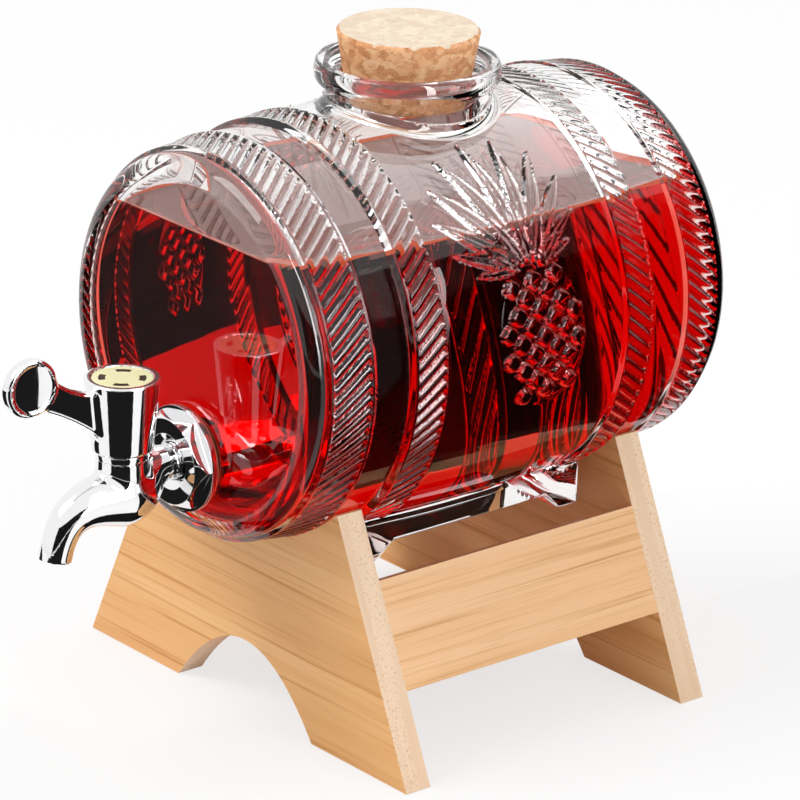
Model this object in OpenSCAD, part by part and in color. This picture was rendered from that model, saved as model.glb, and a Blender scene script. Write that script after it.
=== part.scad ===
// Barrel drink dispenser: a glass barrel lies in a bamboo stand, is filled through a corked
// neck and pours through a lever tap in its front head.
// Millimetres, +Z up, barrel axis along Y, tap towards -Y. The origin is on the floor, under
// the middle of the stand.

/* [Barrel] */
// Length over the two heads
barrel_len = 143; // [134:0.5:156]
// Diameter of the staves at the middle
belly_d = 111.2; // [106:0.2:118]
// Diameter the staves would have at the head plane
end_d = 100.6; // [98:0.2:104]
// Thickness of the glass along the staves
wall_t = 4; // [3:0.1:5]
// Thickness of the two heads
head_t = 5; // [4:0.1:6]
// Height of the moulded hoops above the staves
hoop_h = 1.1; // [0.6:0.1:2]
// Width of each hoop next to a head
outer_hoop_w = 14.4; // [12:0.1:16]
// Width of each hoop next to the belly
inner_hoop_w = 12; // [10:0.1:14]
// Length of the bevel at each hoop's edge
hoop_bevel = 1; // [0.5:0.1:1.5]
// Width of the plain rim at each edge of a hoop
rim_w = 1.9; // [1.7:0.1:2.5]
// Number of slanted ribs round each hoop
rib_count = 90; // [60:2:100]
// Height of a rib
rib_h = 0.8; // [0.4:0.05:1]
// Turn of a rib in degrees for each millimetre along the barrel
rib_slant = 0.83; // [0.4:0.01:1]
// Length from the outer hoop to the head plane
head_edge = 4.7; // [3.5:0.1:6]
// How far the rounded head edge draws in
head_round = 5.6; // [4:0.1:7]
// Inner rounding between staves and head
inner_round = 5; // [3:0.1:6]

/* [Pressed fruit] */
// Height of the fruit on the side of the belly
fruit_h = 36.7; // [30:0.1:40]
// Width of the fruit
fruit_w = 25.4; // [20:0.1:28]
// Angle of the fruit's middle above the side of the belly
fruit_turn = 4.5; // [0:0.5:8]
// Distance of the fruit's middle behind the middle of the barrel
fruit_shift = 1.4; // [-2:0.1:3]
// Lean of the fruit's top towards the tap, in degrees
fruit_lean = 7; // [0:0.5:10]
// Distance between the fruit's scales
scale_pitch = 5.3; // [4.6:0.1:6.5]
// Height of the scales and leaves above the staves
relief_h = 1.2; // [0.8:0.05:1.6]
// Length of the longest leaf of the crown
leaf_len = 34; // [26:0.5:36]
// Width of a leaf
leaf_w = 4.6; // [3.5:0.1:5.5]

/* [Barrel foot] */
// Width of the moulded foot
foot_w = 60; // [50:1:64]
// Drop of the foot's soles below the belly
foot_drop = 3.5; // [2:0.1:5]
// Height of the recess between the soles
foot_recess_h = 4.5; // [3:0.1:6]
// Length of each sole along the barrel
sole_len = 7; // [5:0.5:10]
// Length of the slant at each end of the recess
recess_slant = 5.5; // [3:0.5:7]
// Gap between the foot and an end board
foot_gap = 5.3; // [4:0.1:8]

/* [Neck and cork] */
// Outside diameter of the neck
neck_d = 43.5; // [41:0.1:46]
// Height of the neck above the belly
neck_h = 9.9; // [9:0.1:13]
// Outside diameter of the lip
lip_d = 49.4; // [47:0.1:53]
// Height of the lip
lip_h = 6; // [4:0.1:7]
// Diameter of the mouth at the top of the lip
mouth_d = 43.8; // [41:0.1:45]
// Depth of the flare from the lip to the seat of the cork
flare_depth = 5.5; // [4:0.1:6.5]
// Top diameter of the cork
cork_top_d = 38; // [36:0.1:40]
// Bottom diameter of the cork
cork_bottom_d = 31.4; // [29:0.1:33]
// Height of the cork
cork_h = 19; // [17:0.1:22]
// How far the cork stands out of the mouth
cork_proud = 8.2; // [6:0.1:9.5]
// Bevel round the cork's two edges
cork_bevel = 0.6; // [0.3:0.1:1.2]
// Clearance between the cork and its seat
cork_gap = 0.12; // [0.05:0.01:0.3]

/* [Drink] */
// Level of the drink above the barrel's axis
drink_level = 30.2; // [5:0.1:38]
// Gap that keeps the drink clear of the glass and of the tap
drink_gap = 0.15; // [0.1:0.05:0.4]

/* [Stand] */
// Width of an end board at the floor
board_base_w = 136; // [124:1:150]
// Width of an end board at the top
board_top_w = 75.5; // [70:0.5:82]
// Height of an end board
board_h = 67.3; // [62:0.1:74]
// Thickness of an end board
board_t = 8; // [7:0.1:9]
// Flat left at each top corner beside the cradle
cradle_land = 0.9; // [0.3:0.1:2]
// Clearance between the cradle and the barrel
cradle_gap = 0.3; // [0.2:0.05:0.6]
// Clearance from an end board to the outer hoop
outer_hoop_gap = 0.6; // [0.3:0.1:1.5]
// Clearance from an end board to the inner hoop
inner_hoop_gap = 2.4; // [0.5:0.1:3]
// Width of the arch at the floor
arch_w = 57.6; // [48:0.2:66]
// Height of the arch
arch_h = 19.8; // [14:0.2:24]
// Width of a side rail along the slope
rail_w = 29.4; // [24:0.2:32]
// Thickness of a side rail
rail_t = 8; // [7:0.1:9]
// Height of the middle of a side rail's outer face
rail_z = 36.6; // [32:0.2:40]
// Diameter of a dowel
dowel_d = 4; // [3:0.1:5]
// Depth of a dowel in the end board
dowel_in_board = 5; // [4:0.1:6]
// Depth of a dowel in the side rail
dowel_in_rail = 11; // [8:0.5:15]
// Clearance round a dowel and at its ends
dowel_gap = 0.05; // [0.02:0.01:0.1]

/* [Tap fitting] */
// Depth of the tap's axis below the barrel's axis
tap_drop = 29.5; // [26:0.1:30]
// Diameter of the threaded shank
shank_d = 10; // [9:0.1:11]
// Depth of the thread
thread_depth = 0.5; // [0.3:0.05:0.7]
// Pitch of the thread
thread_pitch = 1.5; // [1:0.25:2]
// Clearance between the shank and what goes over it
shank_gap = 0.1; // [0.05:0.01:0.2]
// Clearance between the shank and the hole in the glass
glass_hole_gap = 0.6; // [0.4:0.1:1]
// Diameter of the seal outside the head
outer_seal_d = 27; // [23:0.5:28]
// Diameter of the seal inside the head
inner_seal_d = 22; // [19:0.5:23]
// Thickness of a seal
seal_t = 1; // [0.8:0.1:2]
// Diameter of the flange on the outer nut
flange_d = 28.4; // [27:0.1:29]
// Thickness of that flange
flange_t = 1.6; // [1.2:0.1:2.5]
// Width across the flats of the outer nut
hex_af = 23.4; // [21:0.1:24.5]
// Thickness of the outer nut's hexagon
hex_t = 3.8; // [3:0.1:4.5]
// How far the hexagon's front corners are bevelled
hex_bevel = 2; // [1:0.1:2.5]
// Diameter of the dish in the outer nut's front
dish_d = 15; // [13:0.1:16.5]
// Depth of that dish
dish_depth = 1.6; // [1:0.1:2.2]
// Width across the flats of the lock nut inside the barrel
lock_af = 19; // [17:0.1:21]
// Thickness of the lock nut
lock_t = 5; // [4:0.1:6]
// Length of the shank that shows behind the lock nut
shank_tail = 2; // [1:0.1:4]

/* [Tap body] */
// Distance of the turret's axis from the head
turret_reach = 21; // [20:0.1:25]
// How much thinner the inlet pipe is than the thread
pipe_relief = 0.7; // [0.4:0.1:1.5]
// Bore of the inlet and of the spout
flow_d = 5; // [4:0.1:5.6]
// Diameter of the body round the valve
bulb_d = 16.6; // [15.6:0.1:18]
// Drop of the body's middle line below the tap's axis
bulb_drop = 5.6; // [4.6:0.1:6]
// Distance behind the turret's axis where the pipe starts to widen
tail_reach = 12; // [10:0.1:13]
// Depth of the valve chamber below the tap's axis
chamber_drop = 10.8; // [10.4:0.1:11.2]
// Height of the collar's seat above the top of the inlet pipe
seat_rise = 0.2; // [0.1:0.1:1]
// Height of the threaded rim above that seat
rim_h = 0.6; // [0.4:0.1:1]
// Wall of that rim round the valve chamber
rim_wall = 1.55; // [1.2:0.05:1.8]
// Outside diameter of the spout's tip
spout_tip_d = 8.8; // [8.2:0.1:10]
// Reach of the spout's tip from the turret's axis
spout_reach = 21.3; // [19:0.1:25]
// Drop of the spout's tip below the tap's axis
spout_drop = 18.6; // [17:0.1:22]
// Forward lean of the spout's tip
spout_lean = 2.7; // [1:0.1:5]
// Rise of the spout's shoulder above the body's middle line
spout_rise = 2; // [1:0.1:3]

/* [Tap valve] */
// Diameter of the valve plug
plug_d = 9; // [8.4:0.1:9.6]
// Running clearance round the plug and its stem
run_gap = 0.05; // [0.02:0.01:0.1]
// Play of the plug along its axis
plug_play = 0.2; // [0.1:0.05:0.3]
// Drop of the plug's port below the tap's axis
port_drop = 2.4; // [2:0.1:2.8]
// Diameter of the port through the plug
port_d = 6; // [5:0.1:6.4]
// Thickness of an O-ring's cord
ring_cord = 1.5; // [1.2:0.05:1.6]
// Distance of each O-ring's middle from the plug's end
ring_inset = 1.6; // [1.4:0.1:1.8]
// Clearance of an O-ring in its groove
ring_gap = 0.05; // [0.02:0.01:0.1]
// Diameter of the stem
stem_d = 6; // [5.6:0.1:6.4]
// Wall of the collar round the threaded rim
collar_wall = 0.7; // [0.5:0.05:1.2]
// Thread clearance between the collar and the rim
collar_gap = 0.1; // [0.05:0.01:0.2]
// Thickness of the collar's web over the plug
collar_web = 0.8; // [0.6:0.1:1.5]
// Thickness of the friction washer under the web
washer_t = 0.4; // [0.3:0.05:0.8]

/* [Tap handle] */
// Gap between the collar and the handle's cap
cap_gap = 0.3; // [0.3:0.05:0.8]
// Height of the cap
cap_h = 19.7; // [18:0.1:22]
// Diameter of the cap at its foot
cap_foot_d = 16; // [15:0.1:18]
// Diameter of the cap at its top
cap_top_d = 20; // [19:0.1:22]
// Bevel at the cap's top edge
cap_bevel = 0.7; // [0.4:0.1:1]
// Height of the square drive on the stem
drive_h = 7; // [6:0.1:8]
// Width across the flats of the square drive
drive_w = 4.4; // [4.2:0.1:4.6]
// Height of the stem's round part inside the cap
drive_rise = 3.5; // [3:0.1:5]
// Clearance in the drive's socket
socket_gap = 0.08; // [0.04:0.02:0.15]
// Thickness of the cap's web above the drive
cap_web = 2; // [1.6:0.1:2.6]
// Diameter of the index disc
index_d = 15.8; // [15:0.1:17]
// Thickness of the index disc
index_t = 1.4; // [1:0.1:1.6]
// How far the index disc lies below the cap's rim
index_sink = 0.3; // [0.1:0.05:0.5]
// Clearance round the index disc
index_gap = 0.1; // [0.05:0.01:0.2]
// Width of the ledge that carries the index disc
index_ledge = 1.5; // [1:0.1:2]
// Diameter of the handle screw
screw_d = 3; // [2.6:0.1:3.2]
// Clearance round the handle screw
screw_gap = 0.05; // [0.02:0.01:0.1]
// Diameter of the screw's head
screw_head_d = 6; // [5.4:0.1:7]
// Height of the screw's head
screw_head_h = 2; // [1.6:0.1:2.4]
// Width of the slot in the screw's head
screw_slot_w = 0.9; // [0.6:0.1:1.2]
// Length of the screw in the stem
screw_len = 6; // [5:0.1:8]
// Distance of the thumb pad's centre from the turret's axis
pad_reach = 29; // [26:0.1:33]
// Height of the thumb pad's centre above the cap's foot
pad_rise = 22.9; // [20:0.1:26]
// Diameter of the thumb pad
pad_d = 15.4; // [14.4:0.1:18]
// Thickness of the thumb pad and its arm
pad_t = 3.4; // [3:0.1:5]
// Width of the thumb pad's rim
pad_rim = 1.4; // [1:0.1:2]
// Depth of the hollow in each face of the thumb pad
pad_hollow = 0.6; // [0.4:0.1:1]
// Height of the arm at the cap
arm_root_h = 13.6; // [12:0.1:14.5]
// Height of the middle of the arm's root above the cap's foot
arm_root_rise = 10; // [9:0.1:11]
// How deep the arm's root is sunk into the cap
arm_sink = 1; // [0.8:0.1:1.5]
// Distance of the arm's waist from the turret's axis
waist_reach = 16.4; // [14:0.1:18]
// Height of the arm's waist above the cap's foot
waist_rise = 15.2; // [13.5:0.1:17]
// Gap between the handles that draw the arm's two edges in at its waist
waist_h = 5; // [3:0.1:7]
// Distance from the pad's centre at which the arm's edges end
arm_grip = 5.6; // [4:0.1:6.5]

/* [Hidden] */
$fn = 96;
// How far a cut runs past the face that it opens
cut = 1;
belly_steps = 4;
cavity_steps = 6;
round_steps = 6;
sweep_sides = 24;
tail_rings = 8;
sweep_rings = 14;
arch_steps = 20;
arm_steps = 12;
hex_sides = 6;
// How deep the ribs' ring is sunk into the glass, and how far each rib stays below the rims
rib_sink = 0.5;
rib_below = 0.15;
// How deep scales and leaves are sunk into the glass
relief_sink = 0.8;
// Share of the relief's height at its outline, and of a scale's width at its top
outline_share = 0.3;
scale_top = 0.6;
// Share of the lattice that a scale fills in the middle, and how much less it fills at the edge
scale_fill = 0.84;
scale_shrink = 0.3;
// How far out in the fruit's oval the last scales sit
scale_limit = 1.02;
leaf_step = 16;
leaf_side = 5;
// How much slower than its lean a leaf gets shorter, and where along it a leaf is widest
leaf_droop = 0.85;
leaf_belly = 0.4;
// Distance from the crown's middle at which leaves start, share of the fan that they fill, and
// share of a leaf's outline that its ridge has
leaf_root = 4;
leaf_fill = 0.94;
leaf_ridge = 0.45;
// Exponent of the taper from the valve to the spout's tip
taper = 1.7;
// Share of the pipe's diameter with which the body starts inside the pipe
tail_start = 0.94;
// Where along the flow line the spout's bore starts and ends
bore_start = 0.15;
bore_end = 1.04;
// Directions from the pad's centre in which the arm's upper and lower edges end
arm_top_angle = 150;
arm_low_angle = 270;

head_y = barrel_len / 2;
belly_r = belly_d / 2;
cavity_y = head_y - head_t;
outer_hoop_end = head_y - head_edge;
outer_hoop_start = outer_hoop_end - outer_hoop_w;
board_out = outer_hoop_start - outer_hoop_gap;
board_in = board_out - board_t;
board_y = (board_out + board_in) / 2;
inner_hoop_end = board_in - inner_hoop_gap;
inner_hoop_start = inner_hoop_end - inner_hoop_w;
band_r = stave_r(board_y);

cradle_r = band_r + cradle_gap;
axis_z = board_h + sqrt(pow(cradle_r, 2) - pow(board_top_w / 2 - cradle_land, 2));
slope_run = (board_base_w - board_top_w) / 2;
slope = atan(slope_run / board_h);
rail_x = board_base_w / 2 - slope_run * rail_z / board_h;

foot_y = board_in - foot_gap;
sole_z = axis_z - belly_r - foot_drop;
foot_top = axis_z - wall_middle(foot_w / 2);

lip_top = axis_z + belly_r + neck_h;
lip_bottom = lip_top - lip_h;
lip_crest_r = (mouth_d + lip_d) / 4;
neck_root = axis_z + wall_middle(neck_d / 2);
cork_bottom = lip_top + cork_proud - cork_h;
cork_flare = (cork_top_d - cork_bottom_d) / 2 / cork_h;
seat_top = lip_top - flare_depth;

tap_z = axis_z - tap_drop;
nut_front = seal_t + flange_t + hex_t;
lock_front = -head_t - seal_t;
lock_back = lock_front - lock_t;
shank_back = lock_back - shank_tail;
pipe_d = shank_d - pipe_relief;
lock_corner_d = lock_af / cos(180 / hex_sides);

turret_y = head_y + turret_reach;
bulb_z = tap_z - bulb_drop;
chamber_z = tap_z - chamber_drop;
chamber_r = plug_d / 2 + run_gap;
seat_z = tap_z + pipe_d / 2 + seat_rise;
rim_top = seat_z + rim_h;
rim_r = chamber_r + rim_wall;
collar_bore_r = rim_r + collar_gap;
collar_r = collar_bore_r + collar_wall;
flow_line = [
    [0, bulb_z],
    [(spout_reach - spout_lean) / 2, bulb_z],
    [spout_reach - spout_lean, bulb_z + spout_rise],
    [spout_reach, tap_z - spout_drop]
];

plug_bottom = chamber_z + plug_play;
plug_top = rim_top - plug_play;
port_z = tap_z - port_drop;
ring_core_r = plug_d / 2 - ring_cord;
ring_zs = [plug_bottom + ring_inset, plug_top - ring_inset];
web_z = rim_top + washer_t;
collar_top = web_z + collar_web;

cap_z = collar_top + cap_gap;
cap_top = cap_z + cap_h;
drive_z = cap_z + drive_rise;
drive_top = drive_z + drive_h;
web_top = drive_top + cap_web;
index_bottom = cap_top - index_sink - index_t;
pad = [pad_reach, cap_z + pad_rise];
arm_root = [cap_foot_d / 2 - arm_sink, cap_z + arm_root_rise];
arm_waist = [waist_reach, cap_z + waist_rise];

// Radius of the staves at a distance y from the middle of the barrel
function stave_r(y) = belly_r - (belly_d - end_d) / 2 * pow(y / head_y, 2);

// Height of the middle of the glass wall above or below the axis, at x from the middle
function wall_middle(x) = sqrt(pow(belly_r - wall_t / 2, 2) - pow(x, 2));

// Quarter of an ellipse from the outline point [r, y], drawn in by dr over a length dy
function quarter(r, y, dr, dy) = [
    for (i = [0:round_steps]) [r - dr * (1 - cos(90 * i / round_steps)), y + dy * sin(90 * i / round_steps)]
];

// Radius of the floor under a hoop's ribs
function rib_floor(start, end) = stave_r(end) - rib_sink;

// Raised hoop between two distances from the middle of the barrel: two rims with a groove between
function hoop(start, end) = concat(
    [for (y = [start + hoop_bevel, start + rim_w]) [stave_r(y) + hoop_h, y]],
    [for (y = [start + rim_w, end - rim_w]) [rib_floor(start, end), y]],
    [for (y = [end - rim_w, end - hoop_bevel]) [stave_r(y) + hoop_h, y]]
);

// Point on the barrel by its angle above the +X side, its place along Y and its radius
function barrel_point(angle, y, r) = [r * cos(angle), y, axis_z + r * sin(angle)];

// Point of the relief by its height and breadth from the fruit's middle and its lift off the staves
function relief_point(p, lift) = let (
    up = p[0] * cos(fruit_lean) + p[1] * sin(fruit_lean),
    y = fruit_shift + p[1] * cos(fruit_lean) - p[0] * sin(fruit_lean)
) barrel_point(fruit_turn + up / belly_r * 180 / PI, y, stave_r(y) + lift);

// Half outline of the barrel's outside, as [radius, distance from the middle]
function barrel_half() = concat(
    [for (i = [0:belly_steps]) let (y = inner_hoop_start * i / belly_steps) [stave_r(y), y]],
    hoop(inner_hoop_start, inner_hoop_end),
    [[band_r, inner_hoop_end], [band_r, outer_hoop_start]],
    hoop(outer_hoop_start, outer_hoop_end),
    quarter(stave_r(outer_hoop_end), outer_hoop_end, head_round, head_edge)
);

// Half outline of the hollow, kept back by a gap
function cavity_half(gap) = let (y_end = cavity_y - inner_round) concat(
    [for (i = [0:cavity_steps - 1]) let (y = y_end * i / cavity_steps) [stave_r(y) - wall_t - gap, y]],
    quarter(stave_r(y_end) - wall_t - gap, y_end, inner_round, inner_round - gap)
);

// Radius of the cork at a height
function cork_r(z) = cork_bottom_d / 2 + cork_flare * (z - cork_bottom);

// Point and direction on the flow line, from 0 under the turret to 1 at the spout's tip
function flow_point(t) = let (p = flow_line, s = 1 - t)
    s * s * s * p[0] + 3 * s * s * t * p[1] + 3 * s * t * t * p[2] + t * t * t * p[3];
function flow_heading(t) = let (p = flow_line, s = 1 - t)
    s * s * (p[1] - p[0]) + 2 * s * t * (p[2] - p[1]) + t * t * (p[3] - p[2]);

// Ring of points round a point of the middle line, square to a heading
function ring_at(c, heading, r) = let (h = heading / norm(heading)) [
    for (i = [0:sweep_sides - 1]) let (a = 360 * i / sweep_sides)
        [r * sin(a), -turret_y - c[0] + r * cos(a) * h[1], c[1] + r * cos(a) * h[0]]
];

// Ring where the pipe widens to the body, from 0 in the pipe to 1 under the turret
function tail_ring(t) = let (
    ease = t * t * (3 - 2 * t),
    start_r = tail_start * pipe_d / 2,
    r = start_r + (bulb_d / 2 - start_r) * ease
) ring_at([tail_reach * (t - 1), tap_z - bulb_drop * ease], [1, 0], r);

// Ring of the spout, from 0 under the turret to 1 at its tip
function spout_ring(t) = ring_at(
    flow_point(t), flow_heading(t), spout_tip_d / 2 + (bulb_d - spout_tip_d) / 2 * pow(1 - t, taper)
);

// Edge of the handle's arm: a curve from the root, drawn towards the waist, to the pad.
// Side is 1 for the upper edge and -1 for the lower one.
function arm_edge(side, angle) = let (
    start = arm_root + [0, side * arm_root_h / 2],
    pull = arm_waist + [0, side * waist_h / 2],
    end = pad + arm_grip * [cos(angle), sin(angle)]
) [
    for (i = [0:arm_steps]) let (t = i / arm_steps, s = 1 - t)
        s * s * start + 2 * s * t * pull + t * t * end
];

// Outline of the arch, a parabola that runs down past the floor
function arch() = [
    for (i = [-arch_steps:arch_steps]) let (q = i / arch_steps * (1 + cut / arch_h))
        [q * arch_w / 2, arch_h * (1 - q * q)]
];

// Solid turned about the barrel's axis from a half outline, mirrored to the other end
module barrel_lathe(half) {
    last = len(half) - 1;
    near = [for (i = [last:-1:1]) [half[i][0], -half[i][1]]];
    ends = [[0, half[last][1]], [0, -half[last][1]]];
    translate([0, 0, axis_z])
        rotate([90, 0, 0])
            rotate_extrude()
                polygon(concat(near, half, ends));
}

// Solid lofted through rings of points
module loft(rings) {
    n = sweep_sides;
    last = len(rings) - 1;
    points = [for (r = rings) each r];
    sides = [
        for (i = [0:last - 1], j = [0:n - 1]) let (k = (j + 1) % n, a = i * n, b = a + n)
            each [[a + j, a + k, b + k], [a + j, b + k, b + j]]
    ];
    start_cap = [for (j = [n - 1:-1:0]) j];
    end_cap = [for (j = [0:n - 1]) last * n + j];
    polyhedron(points, concat(sides, [start_cap, end_cap]));
}

// Slanted ribs of one hoop as a ring that fills the groove between its rims
module hoop_ribs(start, end) {
    n = 2 * round(rib_count);
    rows = [start + rim_w - rib_sink / 2, end - rim_w + rib_sink / 2];
    points = [
        for (y = rows, outer = [1, 0], j = [0:n - 1])
            let (
                ridge = stave_r(y) + hoop_h - rib_below,
                r = outer == 1 ? ridge - rib_h * (j % 2) : rib_floor(start, end) - rib_sink
            )
            barrel_point(360 * j / n - rib_slant * y, y, r)
    ];
    faces = [
        for (j = [0:n - 1]) let (k = (j + 1) % n)
            each [
                [j, k, 2 * n + k], [j, 2 * n + k, 2 * n + j],
                [n + k, n + j, 3 * n + j], [n + k, 3 * n + j, 3 * n + k],
                [k, j, n + j], [k, n + j, n + k],
                [2 * n + j, 2 * n + k, 3 * n + k], [2 * n + j, 3 * n + k, 3 * n + j]
            ]
    ];
    polyhedron(points, faces);
}

// Four-sided stud between rings of four points
module stud(rings) {
    last = len(rings) - 1;
    sides = [
        for (i = [0:last - 1], j = [0:3]) let (k = (j + 1) % 4, a = 4 * i, b = a + 4)
            each [[a + j, a + k, b + k], [a + j, b + k, b + j]]
    ];
    top = 4 * last;
    ends = [[2, 1, 0], [3, 2, 0], [top, top + 1, top + 2], [top, top + 2, top + 3]];
    polyhedron([for (r = rings) each r], concat(sides, ends));
}

// Ring of four relief points round a middle, at a lift
function stud_ring(middle, reach, lift) = [
    for (d = [[reach, 0], [0, reach], [-reach, 0], [0, -reach]]) relief_point(middle + d, lift)
];

// Scales of the fruit on a diagonal lattice inside its oval
module fruit_scales() {
    rows = ceil(fruit_h / scale_pitch);
    for (i = [-rows:rows], j = [-rows:rows]) {
        middle = scale_pitch / sqrt(2) * [i + j, i - j];
        edge = norm([2 * middle[0] / fruit_h, 2 * middle[1] / fruit_w]);
        reach = scale_pitch / sqrt(2) * (scale_fill - scale_shrink * edge * edge);
        if (edge < scale_limit)
            stud([
                stud_ring(middle, reach, -relief_sink), stud_ring(middle, reach, outline_share * relief_h),
                stud_ring(middle, scale_top * reach, relief_h)
            ]);
    }
}

// Fan of leaves above the fruit, each as wide as its share of the fan lets it be
module fruit_crown() {
    for (i = [-leaf_side:leaf_side]) {
        lean = leaf_step * i;
        heading = [cos(lean), sin(lean)];
        length = leaf_len * cos(leaf_droop * lean);
        root = [fruit_h / 2, 0] + leaf_root * heading;
        tip = root + length * heading;
        waist = root + leaf_belly * length * heading;
        room = (leaf_root + leaf_belly * length) * tan(leaf_step / 2);
        across = min(leaf_w / 2, leaf_fill * room) * [-sin(lean), cos(lean)];
        outline = [tip, waist + across, root, waist - across];
        ridge = [for (p = outline) waist + leaf_ridge * (p - waist)];
        stud([
            [for (p = outline) relief_point(p, -relief_sink)],
            [for (p = outline) relief_point(p, outline_share * relief_h)],
            [for (p = ridge) relief_point(p, relief_h)]
        ]);
    }
}

// Places what points along +Z at the tap hole, pointing out of the front head
module at_tap_hole() {
    translate([0, -head_y, tap_z])
        rotate([90, 0, 0])
            children();
}

// Places what stands along +Z on the turret's axis
module at_turret() {
    translate([0, -turret_y, 0])
        children();
}

// Round bar or bore between two heights
module rod(d, from, to) {
    translate([0, 0, from])
        cylinder(d = d, h = to - from);
}

// Hexagonal bar between two heights
module hex_bar(af, from, to) {
    translate([0, 0, from])
        cylinder(d = af / cos(180 / hex_sides), h = to - from, $fn = hex_sides);
}

// Plain ring between two heights
module ring(d, bore, from, to) {
    difference() {
        rod(d, from, to);
        rod(bore, from - cut, to + cut);
    }
}

// Moulded foot with two soles
module barrel_foot() {
    recess_y = foot_y - sole_len;
    recess_z = sole_z + foot_recess_h;
    translate([-foot_w / 2, 0, 0])
        rotate([90, 0, 90])
            linear_extrude(foot_w)
                polygon([
                    [-foot_y, foot_top], [-foot_y, sole_z], [-recess_y, sole_z],
                    [-recess_y + recess_slant, recess_z], [recess_y - recess_slant, recess_z],
                    [recess_y, sole_z], [foot_y, sole_z], [foot_y, foot_top]
                ]);
}

// Outside of the neck with its rounded lip
module neck_outside() {
    lip_mid = (lip_top + lip_bottom) / 2;
    lip = [
        for (i = [-round_steps:round_steps]) let (a = 90 * i / round_steps)
            [lip_crest_r + (lip_d / 2 - lip_crest_r) * cos(a), lip_mid + lip_h / 2 * sin(a)]
    ];
    rotate_extrude()
        polygon(concat(
            [[0, neck_root], [neck_d / 2, neck_root], [neck_d / 2, lip_bottom]], lip, [[0, lip_top]]
        ));
}

// Way in through the neck: a throat, the cork's conical seat and the flared mouth
module neck_bore() {
    throat_r = cork_r(cork_bottom) + cork_gap;
    seat_r = cork_r(seat_top) + cork_gap;
    rotate_extrude()
        polygon([
            [0, axis_z], [throat_r, axis_z], [throat_r, cork_bottom], [seat_r, seat_top],
            [mouth_d / 2, lip_top], [mouth_d / 2, lip_top + cut], [0, lip_top + cut]
        ]);
}

module glass_barrel() {
    color("aliceblue", 0.35)
        difference() {
            union() {
                barrel_lathe(barrel_half());
                barrel_foot();
                neck_outside();
                for (end = [0, 1])
                    mirror([0, end, 0]) {
                        hoop_ribs(inner_hoop_start, inner_hoop_end);
                        hoop_ribs(outer_hoop_start, outer_hoop_end);
                    }
                for (flank = [0, 1])
                    mirror([flank, 0, 0]) {
                        fruit_scales();
                        fruit_crown();
                    }
            }
            barrel_lathe(cavity_half(0));
            neck_bore();
            at_tap_hole()
                rod(shank_d + 2 * glass_hole_gap, -head_t - cut, cut);
        }
}

module drink() {
    fitting_d = max(inner_seal_d, lock_corner_d) + 2 * drink_gap;
    surface = axis_z + drink_level;
    color("crimson", 0.7)
        difference() {
            barrel_lathe(cavity_half(drink_gap));
            translate([-belly_d, -barrel_len, surface])
                cube([2 * belly_d, 2 * barrel_len, belly_d]);
            at_tap_hole() {
                rod(fitting_d, lock_back - drink_gap, 0);
                rod(shank_d + 2 * drink_gap, shank_back - drink_gap, 0);
            }
        }
}

module cork_stopper() {
    top = cork_bottom + cork_h;
    color("burlywood")
        rotate_extrude()
            polygon([
                [0, cork_bottom], [cork_bottom_d / 2 - cork_bevel, cork_bottom],
                [cork_r(cork_bottom + cork_bevel), cork_bottom + cork_bevel],
                [cork_r(top - cork_bevel), top - cork_bevel],
                [cork_top_d / 2 - cork_bevel, top], [0, top]
            ]);
}

// Places what lies along Y in the middle of the right-hand rail, or of the left-hand one
module at_rail(side) {
    translate([side * rail_x, 0, rail_z])
        rotate([0, -side * slope, 0])
            translate([-side * rail_t / 2, 0, 0])
                children();
}

// Dowels, or with a gap their holes, in the joints of one end board
module dowel_set(end, gap) {
    length = dowel_in_board + dowel_in_rail + 2 * gap;
    middle = end * (board_in + (dowel_in_board - dowel_in_rail) / 2);
    for (side = [-1, 1], level = [-1, 1])
        at_rail(side)
            translate([0, middle, level * rail_w / 4])
                rotate([90, 0, 0])
                    cylinder(d = dowel_d + 2 * gap, h = length, center = true);
}

// End board with its cradle, its arch and its dowel holes
module end_board(end) {
    color("tan")
        difference() {
            translate([0, end * board_y, 0])
                rotate([90, 0, 0])
                    linear_extrude(board_t, center = true)
                        difference() {
                            polygon([
                                [-board_base_w / 2, 0], [board_base_w / 2, 0],
                                [board_top_w / 2, board_h], [-board_top_w / 2, board_h]
                            ]);
                            translate([0, axis_z])
                                circle(r = cradle_r);
                            polygon(arch());
                        }
            dowel_set(end, dowel_gap);
        }
}

// Side rail, flush with the sloping edges of the end boards
module side_rail(side) {
    color("burlywood")
        difference() {
            at_rail(side)
                cube([rail_t, 2 * board_in, rail_w], center = true);
            dowel_set(-1, dowel_gap);
            dowel_set(1, dowel_gap);
        }
}

module front_board() {
    end_board(-1);
}

module rear_board() {
    end_board(1);
}

module left_rail() {
    side_rail(-1);
}

module right_rail() {
    side_rail(1);
}

module front_dowels() {
    color("wheat")
        dowel_set(-1, 0);
}

module rear_dowels() {
    color("wheat")
        dowel_set(1, 0);
}

module outer_seal() {
    color("mistyrose")
        at_tap_hole()
            ring(outer_seal_d, shank_d + 2 * shank_gap, 0, seal_t);
}

module inner_seal() {
    color("mistyrose")
        at_tap_hole()
            ring(inner_seal_d, shank_d + 2 * shank_gap, lock_front, -head_t);
}

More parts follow.
